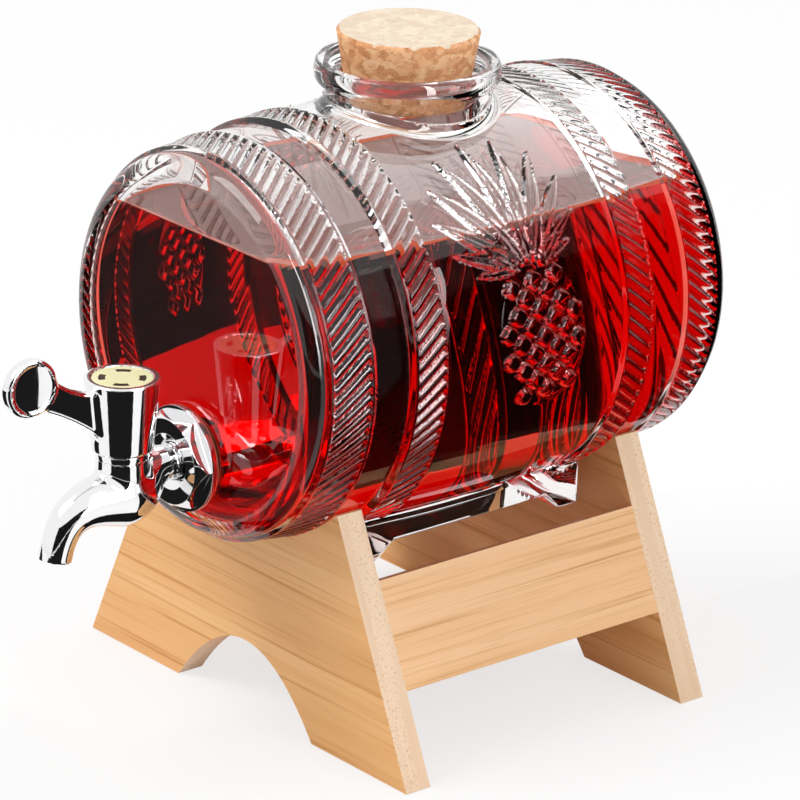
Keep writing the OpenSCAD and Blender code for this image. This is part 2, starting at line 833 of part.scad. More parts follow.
module hex_flange_nut() {
    hex_z = seal_t + flange_t;
    corner_d = hex_af / cos(180 / hex_sides);
    bore = shank_d + 2 * shank_gap;
    color("silver")
        at_tap_hole()
            difference() {
                union() {
                    rod(flange_d, seal_t, hex_z);
                    intersection() {
                        hex_bar(hex_af, seal_t, nut_front);
                        translate([0, 0, seal_t])
                            cylinder(
                                d1 = corner_d + 2 * hex_bevel, d2 = corner_d - 2 * hex_bevel,
                                h = nut_front - seal_t
                            );
                    }
                }
                rod(bore, seal_t - cut, nut_front + cut);
                translate([0, 0, nut_front - dish_depth])
                    cylinder(d1 = bore, d2 = dish_d, h = dish_depth);
            }
}

module lock_nut() {
    color("silver")
        at_tap_hole()
            difference() {
                hex_bar(lock_af, lock_back, lock_front);
                rod(shank_d + 2 * shank_gap, lock_back - cut, lock_front + cut);
            }
}

// Threaded shank as a stack of turned thread ridges
module shank() {
    ridges = floor((nut_front - shank_back) / thread_pitch);
    root_r = shank_d / 2 - thread_depth;
    rotate_extrude()
        polygon(concat(
            [[0, shank_back], [root_r, shank_back]],
            [for (i = [0:ridges - 1]) let (z = shank_back + i * thread_pitch)
                each [[shank_d / 2, z + thread_pitch / 2], [root_r, z + thread_pitch]]],
            [[root_r, nut_front], [0, nut_front]]
        ));
}

// Outside of the body, from the inlet pipe past the valve to the spout's tip
module body_outside() {
    loft(concat(
        [for (i = [0:tail_rings - 1]) tail_ring(i / tail_rings)],
        [for (i = [0:sweep_rings]) spout_ring(i / sweep_rings)]
    ));
}

// Bore of the spout from the valve chamber out of its tip
module spout_bore() {
    ts = [for (i = [0:sweep_rings]) bore_start + (bore_end - bore_start) * i / sweep_rings];
    loft([for (t = ts) ring_at(flow_point(t), flow_heading(t), flow_d / 2)]);
}

module tap_body() {
    color("gainsboro")
        difference() {
            union() {
                body_outside();
                at_turret() {
                    rod(2 * collar_r, bulb_z, seat_z);
                    rod(2 * rim_r, bulb_z, rim_top);
                }
                at_tap_hole() {
                    shank();
                    rod(pipe_d, nut_front, turret_reach);
                }
            }
            spout_bore();
            at_tap_hole()
                rod(flow_d, shank_back - cut, turret_reach);
            at_turret()
                rod(2 * chamber_r, chamber_z, rim_top + cut);
        }
}

module tap_collar() {
    color("silver")
        at_turret()
            difference() {
                rod(2 * collar_r, seat_z, collar_top);
                rod(2 * collar_bore_r, seat_z - cut, web_z);
                rod(stem_d + 2 * run_gap, web_z - cut, collar_top + cut);
            }
}

module friction_washer() {
    color("white")
        at_turret()
            ring(2 * rim_r, stem_d + 2 * run_gap, rim_top, web_z);
}

// Rectangular groove for an O-ring
module ring_groove(z) {
    groove_h = ring_cord + 2 * ring_gap;
    ring(plug_d + 2 * cut, 2 * (ring_core_r - ring_gap), z - groove_h / 2, z + groove_h / 2);
}

module valve_plug() {
    color("whitesmoke")
        at_turret()
            difference() {
                union() {
                    rod(plug_d, plug_bottom, plug_top);
                    rod(stem_d, plug_top, drive_z);
                    intersection() {
                        rod(stem_d, drive_z, drive_top);
                        translate([-drive_w / 2, -drive_w / 2, drive_z])
                            cube([drive_w, drive_w, drive_h]);
                    }
                }
                for (z = ring_zs)
                    ring_groove(z);
                translate([0, 0, port_z])
                    rotate([0, 90, 0])
                        cylinder(d = port_d, h = 2 * plug_d, center = true);
                rod(screw_d + 2 * screw_gap, drive_top - screw_len - cut, drive_top + cut);
            }
}

module plug_rings() {
    color("dimgray")
        at_turret()
            for (z = ring_zs)
                translate([0, 0, z])
                    rotate_extrude()
                        translate([ring_core_r + ring_cord / 2, 0])
                            circle(d = ring_cord);
}

// Arm between the cap and the thumb pad, drawn in the plane of the lever
module handle_arm() {
    upper = arm_edge(1, arm_top_angle);
    lower = arm_edge(-1, arm_low_angle);
    rotate([90, 0, -90])
        linear_extrude(pad_t, center = true)
            polygon(concat(upper, [for (i = [arm_steps:-1:0]) lower[i]]));
}

module tap_handle() {
    color("silver")
        at_turret()
            difference() {
                union() {
                    rotate_extrude()
                        polygon([
                            [0, cap_z], [cap_foot_d / 2, cap_z], [cap_top_d / 2, cap_top - cap_bevel],
                            [cap_top_d / 2 - cap_bevel, cap_top], [0, cap_top]
                        ]);
                    handle_arm();
                    translate([0, -pad[0], pad[1]])
                        rotate([0, 90, 0])
                            cylinder(d = pad_d, h = pad_t, center = true);
                }
                for (side = [-1, 1])
                    translate([side * pad_t / 2, -pad[0], pad[1]])
                        rotate([0, 90, 0])
                            cylinder(d = pad_d - 2 * pad_rim, h = 2 * pad_hollow, center = true);
                rod(stem_d + 2 * socket_gap, cap_z - cut, drive_z);
                translate([-drive_w / 2 - socket_gap, -drive_w / 2 - socket_gap, drive_z - cut])
                    cube([drive_w + 2 * socket_gap, drive_w + 2 * socket_gap, drive_h + cut]);
                rod(screw_d + 2 * screw_gap, drive_top - cut, web_top + cut);
                rod(index_d - 2 * index_ledge, web_top, cap_top);
                rod(index_d + 2 * index_gap, index_bottom, cap_top + cut);
            }
}

module handle_screw() {
    head_top = web_top + screw_head_h;
    color("silver")
        at_turret()
            difference() {
                union() {
                    rod(screw_d, drive_top - screw_len, web_top);
                    rod(screw_head_d, web_top, head_top);
                }
                translate([-screw_head_d, -screw_slot_w / 2, head_top - screw_head_h / 2])
                    cube([2 * screw_head_d, screw_slot_w, screw_head_h]);
            }
}

module index_disc() {
    color("cornsilk")
        at_turret()
            rod(index_d, index_bottom, index_bottom + index_t);
}

glass_barrel();
drink();
cork_stopper();
front_board();
rear_board();
left_rail();
right_rail();
front_dowels();
rear_dowels();
outer_seal();
inner_seal();
hex_flange_nut();
lock_nut();
tap_body();
tap_collar();
friction_washer();
valve_plug();
plug_rings();
tap_handle();
handle_screw();
index_disc();
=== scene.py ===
"""Dresses the barrel drink dispenser: pressed glass, red drink, cork, chrome tap and bamboo stand.

Sizes are in millimetres, unless a comment says metres, and become metres when a mesh is made.
"""
from math import cos, pi, radians, sin, sqrt, tan

import bmesh
import bpy
import numpy as np
from mathutils import Matrix, Vector

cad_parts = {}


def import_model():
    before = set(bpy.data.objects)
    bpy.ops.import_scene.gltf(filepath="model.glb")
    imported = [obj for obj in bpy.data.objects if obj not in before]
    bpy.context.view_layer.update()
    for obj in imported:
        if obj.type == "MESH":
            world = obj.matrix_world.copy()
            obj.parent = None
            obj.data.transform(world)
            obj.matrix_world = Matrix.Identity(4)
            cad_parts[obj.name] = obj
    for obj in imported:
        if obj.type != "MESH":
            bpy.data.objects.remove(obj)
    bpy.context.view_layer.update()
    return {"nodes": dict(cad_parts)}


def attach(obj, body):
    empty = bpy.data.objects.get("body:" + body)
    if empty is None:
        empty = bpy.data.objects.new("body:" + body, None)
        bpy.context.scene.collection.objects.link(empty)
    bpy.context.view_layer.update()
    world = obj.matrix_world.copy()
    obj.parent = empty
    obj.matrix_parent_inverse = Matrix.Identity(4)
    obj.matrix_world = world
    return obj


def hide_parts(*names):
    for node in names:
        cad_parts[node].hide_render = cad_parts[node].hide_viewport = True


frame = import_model()

MM = 0.001

# Barrel
HEAD_Y = 71.5
BELLY_R = 55.6
END_DROP = 5.3
WALL = 4.0
HEAD_T = 5.0
HEAD_EDGE = 4.7
HEAD_ROUND = 5.6
INNER_ROUND = 5.0
BAND_Y = 47.8

# Hoops, with plain rims and slanted ribs between them
INNER_HOOP = (29.4, 41.4)
OUTER_HOOP = (52.4, 66.8)
HOOP_H = 1.1
HOOP_SLOPE = 0.9
RIM_W = 1.9
RIM_SLOPE = 0.4
RIB_TURN = 4.0
RIB_SLANT = 0.83
RIB_ROOT = 0.1
RIB_H = 0.9
RIB_FULLNESS = 0.8

# Grid of the glass, and faces round turned forms
GLASS_TURNS = 900
BELLY_STEP = 0.45
BELLY_END = INNER_HOOP[0] - 0.8
HOOP_STEP = 0.3
HOOP_FOOT = (0.0, 0.25, 0.7)
ROW_GAP = 0.1
BAND_MARGIN = 2
BAND_ROWS = 4
EDGE_ROWS = 15
HOLLOW_TURNS = 256
NECK_TURNS = 192
BORE_TURNS = 64
CORK_TURNS = 160

# Pineapple pressed into both flanks
FRUIT_HALF_H = 18.35
FRUIT_HALF_W = 12.7
FRUIT_TURN = 4.5
FRUIT_SHIFT = 1.4
FRUIT_LEAN = 7.0
FRUIT_UP = (-22, 60)
FRUIT_SIDE = 27
RELIEF_H = 1.2
OVAL_H = 0.25
OVAL_MARGIN = 1.5
SCALE_PITCH = 5.3
SCALE_SHRINK = 0.12
SCALE_SQUARE = 4
SCALE_SLOPE = 0.28
SCALE_FLAT = 0.93
SCALE_DOME = 0.07

# Leaves, and the short ones in front
LEAF_LEN = 34.0
LEAF_HALF_W = 2.9
LEAF_STEP = 16.0
LEAF_SIDE = 5
LEAF_ROOT = 4.0
LEAF_DROOP = 0.85
LEAF_WIDEST = 0.4
LEAF_CROWD = 1.25
LEAF_SWELL = 0.6
LEAF_TAPER = 0.8
LEAF_SLOPE = 0.25
LEAF_FLAT = 0.55
LEAF_RIM_H = 0.42
LEAF_RIM_AT = 0.3
LEAF_RIM_W = 0.16
LEAF_RIB_H = 0.25
LEAF_RIB_W = 0.4
FRONT_SIDE = 2
FRONT_DROP = 2.5
FRONT_STEP = 1.6
FRONT_TURN = 6
FRONT_SHARE = 0.5
FRONT_LIFT = 0.25

# Stand and axis heights
BOARD_H = 67.3
CRADLE_HALF = 36.85
CRADLE_GAP = 0.3


def stave_r(y):
    """Radius of the staves at a distance y from the middle of the barrel."""
    return BELLY_R - END_DROP * (np.asarray(y, float) / HEAD_Y) ** 2


BAND_R = float(stave_r(BAND_Y))
AXIS_Z = BOARD_H + sqrt((BAND_R + CRADLE_GAP) ** 2 - CRADLE_HALF ** 2)

# Foot
FOOT_HALF_W = 30.0
FOOT_Y = 38.5
FOOT_TOP = AXIS_Z - 43.0
FOOT_BEVEL = 1.3
SOLE_Z = AXIS_Z - BELLY_R - 3.5
RECESS_Y = FOOT_Y - 7.0
RECESS_SLANT = 5.5
RECESS_Z = SOLE_Z + 4.5

# Neck and cork
NECK_R = 21.75
NECK_ROOT = 46.0
NECK_FILLET = 3.0
FILLET_END = 0.97
LIP_TOP = AXIS_Z + BELLY_R + 9.9
LIP_H = 6.0
LIP_R = 24.7
MOUTH_R = 21.9
FLARE_BEND = 1.25
CORK_H = 19.0
CORK_BOTTOM = LIP_TOP + 8.2 - CORK_H
CORK_TOP_R = 19.0
CORK_BOTTOM_R = 15.7
CORK_GAP = 0.12
CORK_BEVEL = 0.8
CORK_MIDDLE = 1.2
SEAT_TOP = LIP_TOP - 5.5
PITS = 150
PIT_SEED = 11
PITS_ON_TOP = 0.45
PIT_SIZE = (0.35, 0.95)

# Drink, and the tap's fittings that stand in it
DRINK_Z = AXIS_Z + 30.2
WET = 0.15
MENISCUS_H = 1.1
MENISCUS_W = 1.1
LID_STEPS = 16
LID_H = 100
FITTING_R = 9.35
LOCK_BACK = 10.85
FITTING_BACK = 12.85

# Tap body
TAP_Z = AXIS_Z - 29.5
TURRET_Y = HEAD_Y + 21.0
TURRET = (0, -TURRET_Y)
PIPE_R = 4.65
PIPE_END = -HEAD_Y - 5.5
PIPE_ROOT_R = 0.94 * PIPE_R
SHANK_R = 5.0
SHANK_HOLE_R = SHANK_R + 0.6
SHANK_MIDDLE = 3.3
SHANK_HALF = 9.7
THREAD_R = SHANK_R - 0.25
THREAD_H = 0.22
THREAD_PITCH = 1.5
FLOW_R = 2.5
FLOW_END = -HEAD_Y + 15
BULB_R = 8.3
BULB_Z = TAP_Z - 5.6
TAIL = 12.0
TAIL_STEPS = 50
TIP_R = 4.4
TIP_D = 21.3
TIP_Z = TAP_Z - 18.6
TIP_LEAN = -2.7
SPOUT_REACH = (9.3, 18.6)
SPOUT_RISE = 2
SPOUT_END = 1.06
SPOUT_STEPS = 130
SPOUT_TAPER = 1.7
SPOUT_BORE_START = 58
SEAT_Z = TAP_Z + PIPE_R + 0.2
RIM_TOP = SEAT_Z + 0.6
RIM_R = 6.1
COLLAR_R = 6.9
CHAMBER_R = 4.55
CHAMBER_Z = TAP_Z - 10.8

# Tap handle
CAP_Z = RIM_TOP + 0.4 + 0.8 + 0.3
CAP_TOP = CAP_Z + 19.7
CAP_FOOT_R = 8.0
CAP_TOP_R = 10.0
CAP_SOFT = 0.6
CAP_TILT = 0.994
ARM_ROOT = 5.0
ARM_BEND = 16.4
ARM_END = 5.6
ARM_END_TURN = 150
ARM_SOFT = 1.0
ARM_STEPS = 16
PAD_D = 29.0
PAD_Z = CAP_Z + 22.9
PAD_R = 7.7
PAD_T = 3.4
PAD_SOFT = 0.9
DISH_R = PAD_R - 1.2
DISH_H = 0.75

# Radius, bottom and top of the cap's hollows: disc recess, well, stem socket and screw hole
CAP_HOLLOWS = (
    (8.0, CAP_TOP - 1.7, CAP_TOP + 3),
    (6.4, CAP_Z + 12.5, CAP_TOP + 3),
    (3.08, CAP_Z - 3, CAP_Z + 12),
    (1.55, CAP_Z + 8, CAP_Z + 14),
)

# Boxes in which the cast pieces are sampled
NET_STEP = 0.36
NET_PARTS = 40
NET_PULLS = 3
TAP_LOW = (-9.2, -TURRET_Y - 27.2, TIP_Z - 1.6)
TAP_HIGH = (9.2, -HEAD_Y + 14.2, RIM_TOP + 0.7)
HANDLE_LOW = (-10.9, -TURRET_Y - PAD_D - PAD_R - 0.9, CAP_Z - 0.8)
HANDLE_HIGH = (10.9, -TURRET_Y + 10.9, PAD_Z + PAD_R + 0.9)

# Angles in degrees above which an edge is shaded sharp
GLASS_SHARP = 34
DRINK_SHARP = 40
CHROME_SHARP = 38
CORK_SHARP = 50

# Index disc
ARC_R = 5.3
ARC_HALF_W = 0.9
ARC_COUNT = 4.0
ARC_TURN = 160
ARC_LIMIT = 0.1

# Colours, as linear red, green and blue
WHITE = (1, 1, 1)
BLACK = (0, 0, 0)
TAN_BAMBOO = ((0.77, 0.4, 0.15), (0.85, 0.465, 0.19), (0.89, 0.525, 0.235))
PALE_BAMBOO = ((0.81, 0.465, 0.22), (0.87, 0.52, 0.265), (0.89, 0.56, 0.31))
FIBRE_DARK = (0.74, 0.58, 0.4)
FIBRE_SOFT = (0.93, 0.88, 0.8)
HAIR_DARK = (0.88, 0.8, 0.7)
SCAR_DARK = (0.78, 0.64, 0.46)
PLY_DARK = (0.80, 0.56, 0.37)
PLY_LIGHT = (0.87, 0.64, 0.45)
PORE_DARK = (0.62, 0.48, 0.38)
CORK_BROWNS = ((0.66, 0.28, 0.11), (0.82, 0.4, 0.18), (0.9, 0.54, 0.29))
CORK_SHADOW = (0.7, 0.55, 0.42)
CORK_FLECK = (0.3, 0.2, 0.13)
# Top of the cork: paler than the sides, partly its cut face and partly painted light from the lamp above
CORK_CUT_AND_LIT_TOP_DARK = (0.7, 0.56, 0.42)
CORK_CUT_AND_LIT_TOP_LIGHT = (0.79, 0.68, 0.54)
CORK_CUT_AND_LIT_TOP_FLECK = (0.4, 0.27, 0.17)
CREAM_DARK = (0.94, 0.92, 0.52)
CREAM_LIGHT = (0.96, 0.95, 0.6)
INK_DARK = (0.02, 0.02, 0.015)
INK_LIGHT = (0.05, 0.045, 0.03)

# Mirror reflection where glass and drink touch
WET_GLINT = 0.1

# Scar of a stalk's node: x and z of its middle, and its stretch per metre
NODE_SCAR = (-38.0, 59.0)
NODE_STRETCH = (190.0, 95.0)

# Camera: direction in degrees from -Y towards +X, and places in metres
VIEW_TURN = 50.0
VIEW_RISE = 20.66
VIEW_ROLL = 1.33
VIEW_REACH = 1.377
VIEW_MIDDLE = Vector((0, 0, 0.0762))
LENS = 231.75
SENSOR = 36.0
VIEW_END = 50.0

# Floor and world
FLOOR_SIZE = 3000.0
FLOOR_Z = -0.2
FLOOR_TONE = 0.9
FLOOR_GLOW = 0.72
AMBIENT = 0.5

# Lamps as name, place and size in metres, and power in watts
LAMP_TARGET = (0, 0, 0.1)
LAMPS = (
    ("key", (-0.5, -1.0, 1.5), (1.0, 1.0), 19),
    ("side", (1.3, 0.2, 0.8), (0.7, 0.7), 6.5),
    ("top", (-0.1, 1.1, 1.5), (1.2, 1.0), 7),
)

# Dark cards on the floor round the tap, then standing ones round the object: name, span of directions from
# the camera's, reach and height of two edges, middle in y, and whether glass shows them
CARD_TONE = 0.01
CARD_Z = 0.4
CARD_STEPS = 9
ARC_CARDS = (
    ("flag_under", (-130, 130), (1, CARD_Z), (70, CARD_Z), -TURRET_Y, False),
    ("flag_near", (-44, 38), (20, CARD_Z), (900, CARD_Z), -TURRET_Y, False),
    ("flag_right", (66, 125), (60, CARD_Z), (1500, CARD_Z), -TURRET_Y, True),
    ("flag_left", (-118, -90), (110, CARD_Z), (520, CARD_Z), -TURRET_Y, False),
    ("flag_far_right", (66, 112), (1100, 1), (1100, 800), 0, False),
    ("flag_camera", (-30, 38), (1500, 1), (1500, 620), 0, False),
    ("flag_behind", (60, 112), (1150, 1), (1150, 450), 0, True),
)

# Dark cards on the far side of the barrel as name and corners
FAR_TONE = 0.005
FAR_CARDS = (
    ("flag_back", [(-115, 22, 2), (-115, 150, 2), (-115, 150, 60), (-115, 132, 97), (-115, 22, 97)]),
    ("flag_floor_left", [(-114, 10, 0.5), (-40, 10, 0.5), (-40, 145, 0.5), (-114, 145, 0.5)]),
)

# Bright cards as name, corners, strength, and the heights between which they fade in
SOFTBOX = [(312, 36, 85), (280, 104, 85), (280, 111, 180), (280, 141, 290), (312, 70, 290)]
STRIP = [(365, -110, 60), (345, -40, 60), (345, -40, 700), (365, -110, 700)]
BRIGHT_CARDS = (
    ("softbox", SOFTBOX, 6.5, 90, 190),
    ("strip", STRIP, 18.0, 60, 160),
)


# Mesh helpers

def enter(name, data):
    """New object in the scene."""
    obj = bpy.data.objects.new(name, data)
    bpy.context.scene.collection.objects.link(obj)
    return obj


def make(name, verts, faces, smooth=True):
    """New mesh object from points in millimetres."""
    mesh = bpy.data.meshes.new(name)
    mesh.from_pydata((np.asarray(verts, float) * MM).tolist(), [], [list(map(int, f)) for f in faces])
    mesh.validate()
    if smooth:
        mesh.shade_smooth()
    return enter(name, mesh)


def outward(obj):
    """Turns every face outwards."""
    bm = bmesh.new()
    bm.from_mesh(obj.data)
    bmesh.ops.recalc_face_normals(bm, faces=bm.faces)
    bm.to_mesh(obj.data)
    bm.free()
    return obj


def grid_faces(rows, cols, wrap):
    """Quads of a grid of points, closed to a ring where wrap is set."""
    i, j = np.meshgrid(np.arange(rows - 1), np.arange(cols if wrap else cols - 1), indexing="ij")
    k = (j + 1) % cols
    return np.stack([i * cols + j, i * cols + k, (i + 1) * cols + k, (i + 1) * cols + j], -1).reshape(-1, 4)


def pairs(ring):
    """Neighbours in a closed ring of points."""
    ring = list(ring)
    return list(zip(ring, ring[1:] + ring[:1]))


def lathe(name, profile, n, place):
    """Solid turned from a profile of (radius, height) that starts and ends on the axis."""
    inner = profile[1:-1]
    turn = np.linspace(0, 2 * pi, n, endpoint=False)
    pts = [place(np.array([r * cos(a), r * sin(a), h])) for r, h in inner for a in turn]
    faces = grid_faces(len(inner), n, True)[:, ::-1].tolist()
    first, last = len(pts), len(pts) + 1
    pts += [place(np.array([0.0, 0.0, profile[end][1]])) for end in (0, -1)]
    top = (len(inner) - 1) * n
    faces += [[first, a, b] for a, b in pairs(range(n))]
    faces += [[last, top + b, top + a] for a, b in pairs(range(n))]
    return outward(make(name, pts, faces))


def settle(obj):
    """Replaces an object's mesh by what its modifiers make of it."""
    graph = bpy.context.evaluated_depsgraph_get()
    done = bpy.data.meshes.new_from_object(obj.evaluated_get(graph))
    obj.modifiers.clear()
    obj.data = done
    return obj


def combine(target, tool, operation):
    """Boolean of two closed meshes; the tool is used up."""
    mod = target.modifiers.new("cut", "BOOLEAN")
    mod.operation = operation
    mod.solver = "MANIFOLD"
    mod.object = tool
    settle(target)
    bpy.data.objects.remove(tool)


def soften(obj, width, segments, angle):
    """Bevels the edges that are sharper than an angle in degrees."""
    bevel = obj.modifiers.new("soft", "BEVEL")
    bevel.width = width * MM
    bevel.segments = segments
    bevel.limit_method = "ANGLE"
    bevel.angle_limit = radians(angle)


def shade(obj, angle):
    """Smooth shading that keeps edges sharper than an angle in degrees."""
    mesh = obj.data
    mesh.shade_smooth()
    mesh.set_sharp_from_angle(angle=radians(angle))
    return obj


def upright(p):
    """Turned about the upright axis."""
    return p


def along_barrel(p):
    """Turned about the barrel's axis."""
    return np.array([p[0], p[2], AXIS_Z + p[1]])


def along_tap(p):
    """Turned about the tap's inlet, with heights outwards from the front head."""
    return np.array([p[0], -HEAD_Y - p[2], TAP_Z + p[1]])


def ramp(x, a, b):
    """Smooth step from 0 at a to 1 at b."""
    t = np.clip((np.asarray(x, float) - a) / (b - a), 0, 1)
    return t * t * (3 - 2 * t)


# Glass barrel

def hoop_height(theta, y, span):
    """Hoop over the staves: plain rims with slanted ribs between them."""
    start, end = span
    first, last = start + RIM_W, end - RIM_W
    raised = ramp(y, start, start + HOOP_SLOPE) * (1 - ramp(y, end - HOOP_SLOPE, end))
    ribbed = ramp(y, first - RIM_SLOPE, first) * (1 - ramp(y, last, last + RIM_SLOPE))
    rib = np.abs(np.cos(pi * (theta + RIB_SLANT * y) / RIB_TURN)) ** RIB_FULLNESS
    return raised * (HOOP_H * (1 - ribbed) + ribbed * (RIB_ROOT + RIB_H * rib))


def leaf_width(t, length):
    """Half width of a leaf, with t from 0 at its root to 1 at its tip."""
    room = (LEAF_ROOT + LEAF_WIDEST * length) * tan(radians(LEAF_STEP / 2))
    half = min(LEAF_HALF_W, LEAF_CROWD * room)
    swell = np.sin(pi / 2 * np.minimum(t / LEAF_WIDEST, 1)) ** LEAF_SWELL
    taper = np.cos(pi / 2 * np.clip((t - LEAF_WIDEST) / (1 - LEAF_WIDEST), 0, 1)) ** LEAF_TAPER
    return half * swell * taper


def leaf_height(up, side, lean, share, lift):
    """Leaf with steep edges, a raised rim and a fine midrib."""
    a = radians(lean)
    length = LEAF_LEN * cos(LEAF_DROOP * a)
    du, dv = up - FRUIT_HALF_H, side
    along = (du * cos(a) + dv * sin(a) - LEAF_ROOT) / (length * share)
    across = -du * sin(a) + dv * cos(a)
    width = leaf_width(np.clip(along, 0, 1), length)
    inside = np.clip(1 - np.abs(across) / np.maximum(width, 0.05), 0, 1) * (along > 0) * (along < 1)
    rim = LEAF_RIM_H * np.exp(-((inside - LEAF_RIM_AT) / LEAF_RIM_W) ** 2)
    rib = LEAF_RIB_H * np.exp(-(across / LEAF_RIB_W) ** 2)
    return lift * ramp(inside, 0, LEAF_SLOPE) * (LEAF_FLAT + rim + rib)


def scale_height(up, side):
    """Flat square scales on a diagonal lattice, smaller towards the fruit's edge."""
    pitch = sqrt(2) * SCALE_PITCH
    i, j = (up + side) / pitch, (up - side) / pitch
    ni, nj = np.round(i), np.round(j)
    middle_up = (ni + nj) * SCALE_PITCH / sqrt(2)
    middle_side = (ni - nj) * SCALE_PITCH / sqrt(2)
    edge = np.hypot(middle_up / FRUIT_HALF_H, middle_side / FRUIT_HALF_W)
    half = 0.5 * (1.0 - SCALE_SHRINK * np.minimum(edge, 1.1) ** 2)
    reach = (np.abs(i - ni) ** SCALE_SQUARE + np.abs(j - nj) ** SCALE_SQUARE) ** (1 / SCALE_SQUARE) / half
    flat = SCALE_FLAT * ramp(1 - reach, 0, SCALE_SLOPE) + SCALE_DOME * np.clip(1 - reach ** 2, 0, 1)
    return flat * (edge < 1.02)


def fruit_height(up, side):
    """Pineapple in low relief: an oval of scales under a crown of leaves."""
    high, wide = FRUIT_HALF_H + OVAL_MARGIN, FRUIT_HALF_W + OVAL_MARGIN
    oval = np.clip(1 - (up / high) ** 2 - (side / wide) ** 2, 0, 1)
    relief = OVAL_H * np.sqrt(oval) + RELIEF_H * scale_height(up, side)
    for i in range(-LEAF_SIDE, LEAF_SIDE + 1):
        relief = np.maximum(relief, leaf_height(up, side, LEAF_STEP * i, 1.0, RELIEF_H))
    for i in range(-FRONT_SIDE, FRONT_SIDE + 1):
        lean = FRONT_STEP * LEAF_STEP * i + FRONT_TURN
        front = leaf_height(up + FRONT_DROP, side, lean, FRONT_SHARE, RELIEF_H + FRONT_LIFT)
        relief = np.maximum(relief, front)
    return relief


def ornament(theta, y):
    """Relief on both flanks, by angle in degrees from +X."""
    lift = np.zeros(np.broadcast(theta, y).shape)
    lean = radians(FRUIT_LEAN)
    flank = np.where(np.abs(theta) <= 90, theta, np.sign(theta) * 180 - theta)
    rise = np.radians(flank - FRUIT_TURN) * BELLY_R + 0 * y
    back = y - FRUIT_SHIFT + 0 * rise
    up = rise * cos(lean) - back * sin(lean)
    side = rise * sin(lean) + back * cos(lean)
    near = (up > FRUIT_UP[0]) & (up < FRUIT_UP[1]) & (np.abs(side) < FRUIT_SIDE)
    lift[near] = fruit_height(up[near], side[near])
    return lift


def barrel_rows():
    """Places along the barrel, and its plain radius there."""
    foot = np.array(HOOP_FOOT)
    half = np.concatenate([
        np.arange(0, BELLY_END, BELLY_STEP),
        INNER_HOOP[0] - foot[:0:-1],
        np.arange(INNER_HOOP[0], INNER_HOOP[1] - ROW_GAP, HOOP_STEP),
        INNER_HOOP[1] + foot,
        np.linspace(INNER_HOOP[1] + BAND_MARGIN, OUTER_HOOP[0] - BAND_MARGIN, BAND_ROWS),
        OUTER_HOOP[0] - foot[:0:-1],
        np.arange(OUTER_HOOP[0], OUTER_HOOP[1] - ROW_GAP, HOOP_STEP),
    ])
    base = np.where((half > INNER_HOOP[1]) & (half < OUTER_HOOP[0]), BAND_R, stave_r(half))
    edge = np.radians(np.linspace(0, 90, EDGE_ROWS))
    y = np.concatenate([half, OUTER_HOOP[1] + HEAD_EDGE * np.sin(edge)])
    r = np.concatenate([base, float(stave_r(OUTER_HOOP[1])) - HEAD_ROUND * (1 - np.cos(edge))])
    return np.concatenate([-y[:0:-1], y])[:, None], np.concatenate([r[:0:-1], r])[:, None]


def pressed_radius(theta, y, r):
    """Radius with hoops, relief and the fillet under the neck."""
    radius = np.broadcast_to(r, np.broadcast(theta, y).shape).copy()
    radius += hoop_height(theta, np.abs(y), INNER_HOOP)
    radius += hoop_height(theta, np.abs(y), OUTER_HOOP)
    radius += ornament(theta, y)
    rho = np.hypot(radius * np.cos(np.radians(theta)), y)
    t = np.clip((NECK_R + NECK_FILLET - rho) / NECK_FILLET, 0, FILLET_END) * (theta > 0)
    return radius + NECK_FILLET * (1 - np.sqrt(1 - t * t))


def barrel_outside():
    """Outside as a ring grid, with a fan of faces at each head."""
    y, r = barrel_rows()
    theta = np.linspace(-180, 180, GLASS_TURNS, endpoint=False)[None, :]
    radius = pressed_radius(theta, y, r)
    turn = np.radians(theta)
    pts = np.stack([radius * np.cos(turn), y + 0 * radius, AXIS_Z + radius * np.sin(turn)], -1)
    pts = pts.reshape(-1, 3).tolist()
    faces = grid_faces(len(y), GLASS_TURNS, True).tolist()
    for end, row in ((-1, 0), (1, len(y) - 1)):
        centre = len(pts)
        pts.append([0.0, end * HEAD_Y, AXIS_Z])
        first = row * GLASS_TURNS
        faces += [[centre, a, b] for a, b in pairs(range(first, first + GLASS_TURNS))]
    return outward(make("glass_barrel_pressed", pts, faces))


def cavity_profile(grow):
    """Profile of the hollow as (radius, place along the barrel), grown a little."""
    y_end = HEAD_Y - HEAD_T - INNER_ROUND
    wall = [(float(stave_r(y)) - WALL + grow, y) for y in np.linspace(0, y_end, 24)]
    r_end = wall[-1][0]
    turn = [
        (r_end - INNER_ROUND * (1 - cos(a)), y_end + (INNER_ROUND + grow) * sin(a))
        for a in np.radians(np.linspace(7.5, 90, 12))
    ]
    half = wall + turn
    return [(0.0, -half[-1][1])] + [(r, -y) for r, y in half[:0:-1]] + half + [(0.0, half[-1][1])]


def cork_r(z):
    """Radius of the cork's taper at a height."""
    return CORK_BOTTOM_R + (CORK_TOP_R - CORK_BOTTOM_R) * (z - CORK_BOTTOM) / CORK_H


def neck_outside():
    """Neck with its rounded lip."""
    crest = (MOUTH_R + LIP_R) / 2
    mid = LIP_TOP - LIP_H / 2
    lip_foot = mid - LIP_H / 2
    root = AXIS_Z + NECK_ROOT
    arc = [
        (crest + (LIP_R - crest) * cos(a), mid + LIP_H / 2 * sin(a))
        for a in np.radians(np.linspace(-90, 90, 25))
    ]
    waist = [(NECK_R, root), (NECK_R, AXIS_Z + BELLY_R), (NECK_R, lip_foot - 0.6), (NECK_R + 0.3, lip_foot)]
    return lathe("neck", [(0, root)] + waist + arc + [(0, LIP_TOP)], NECK_TURNS, upright)


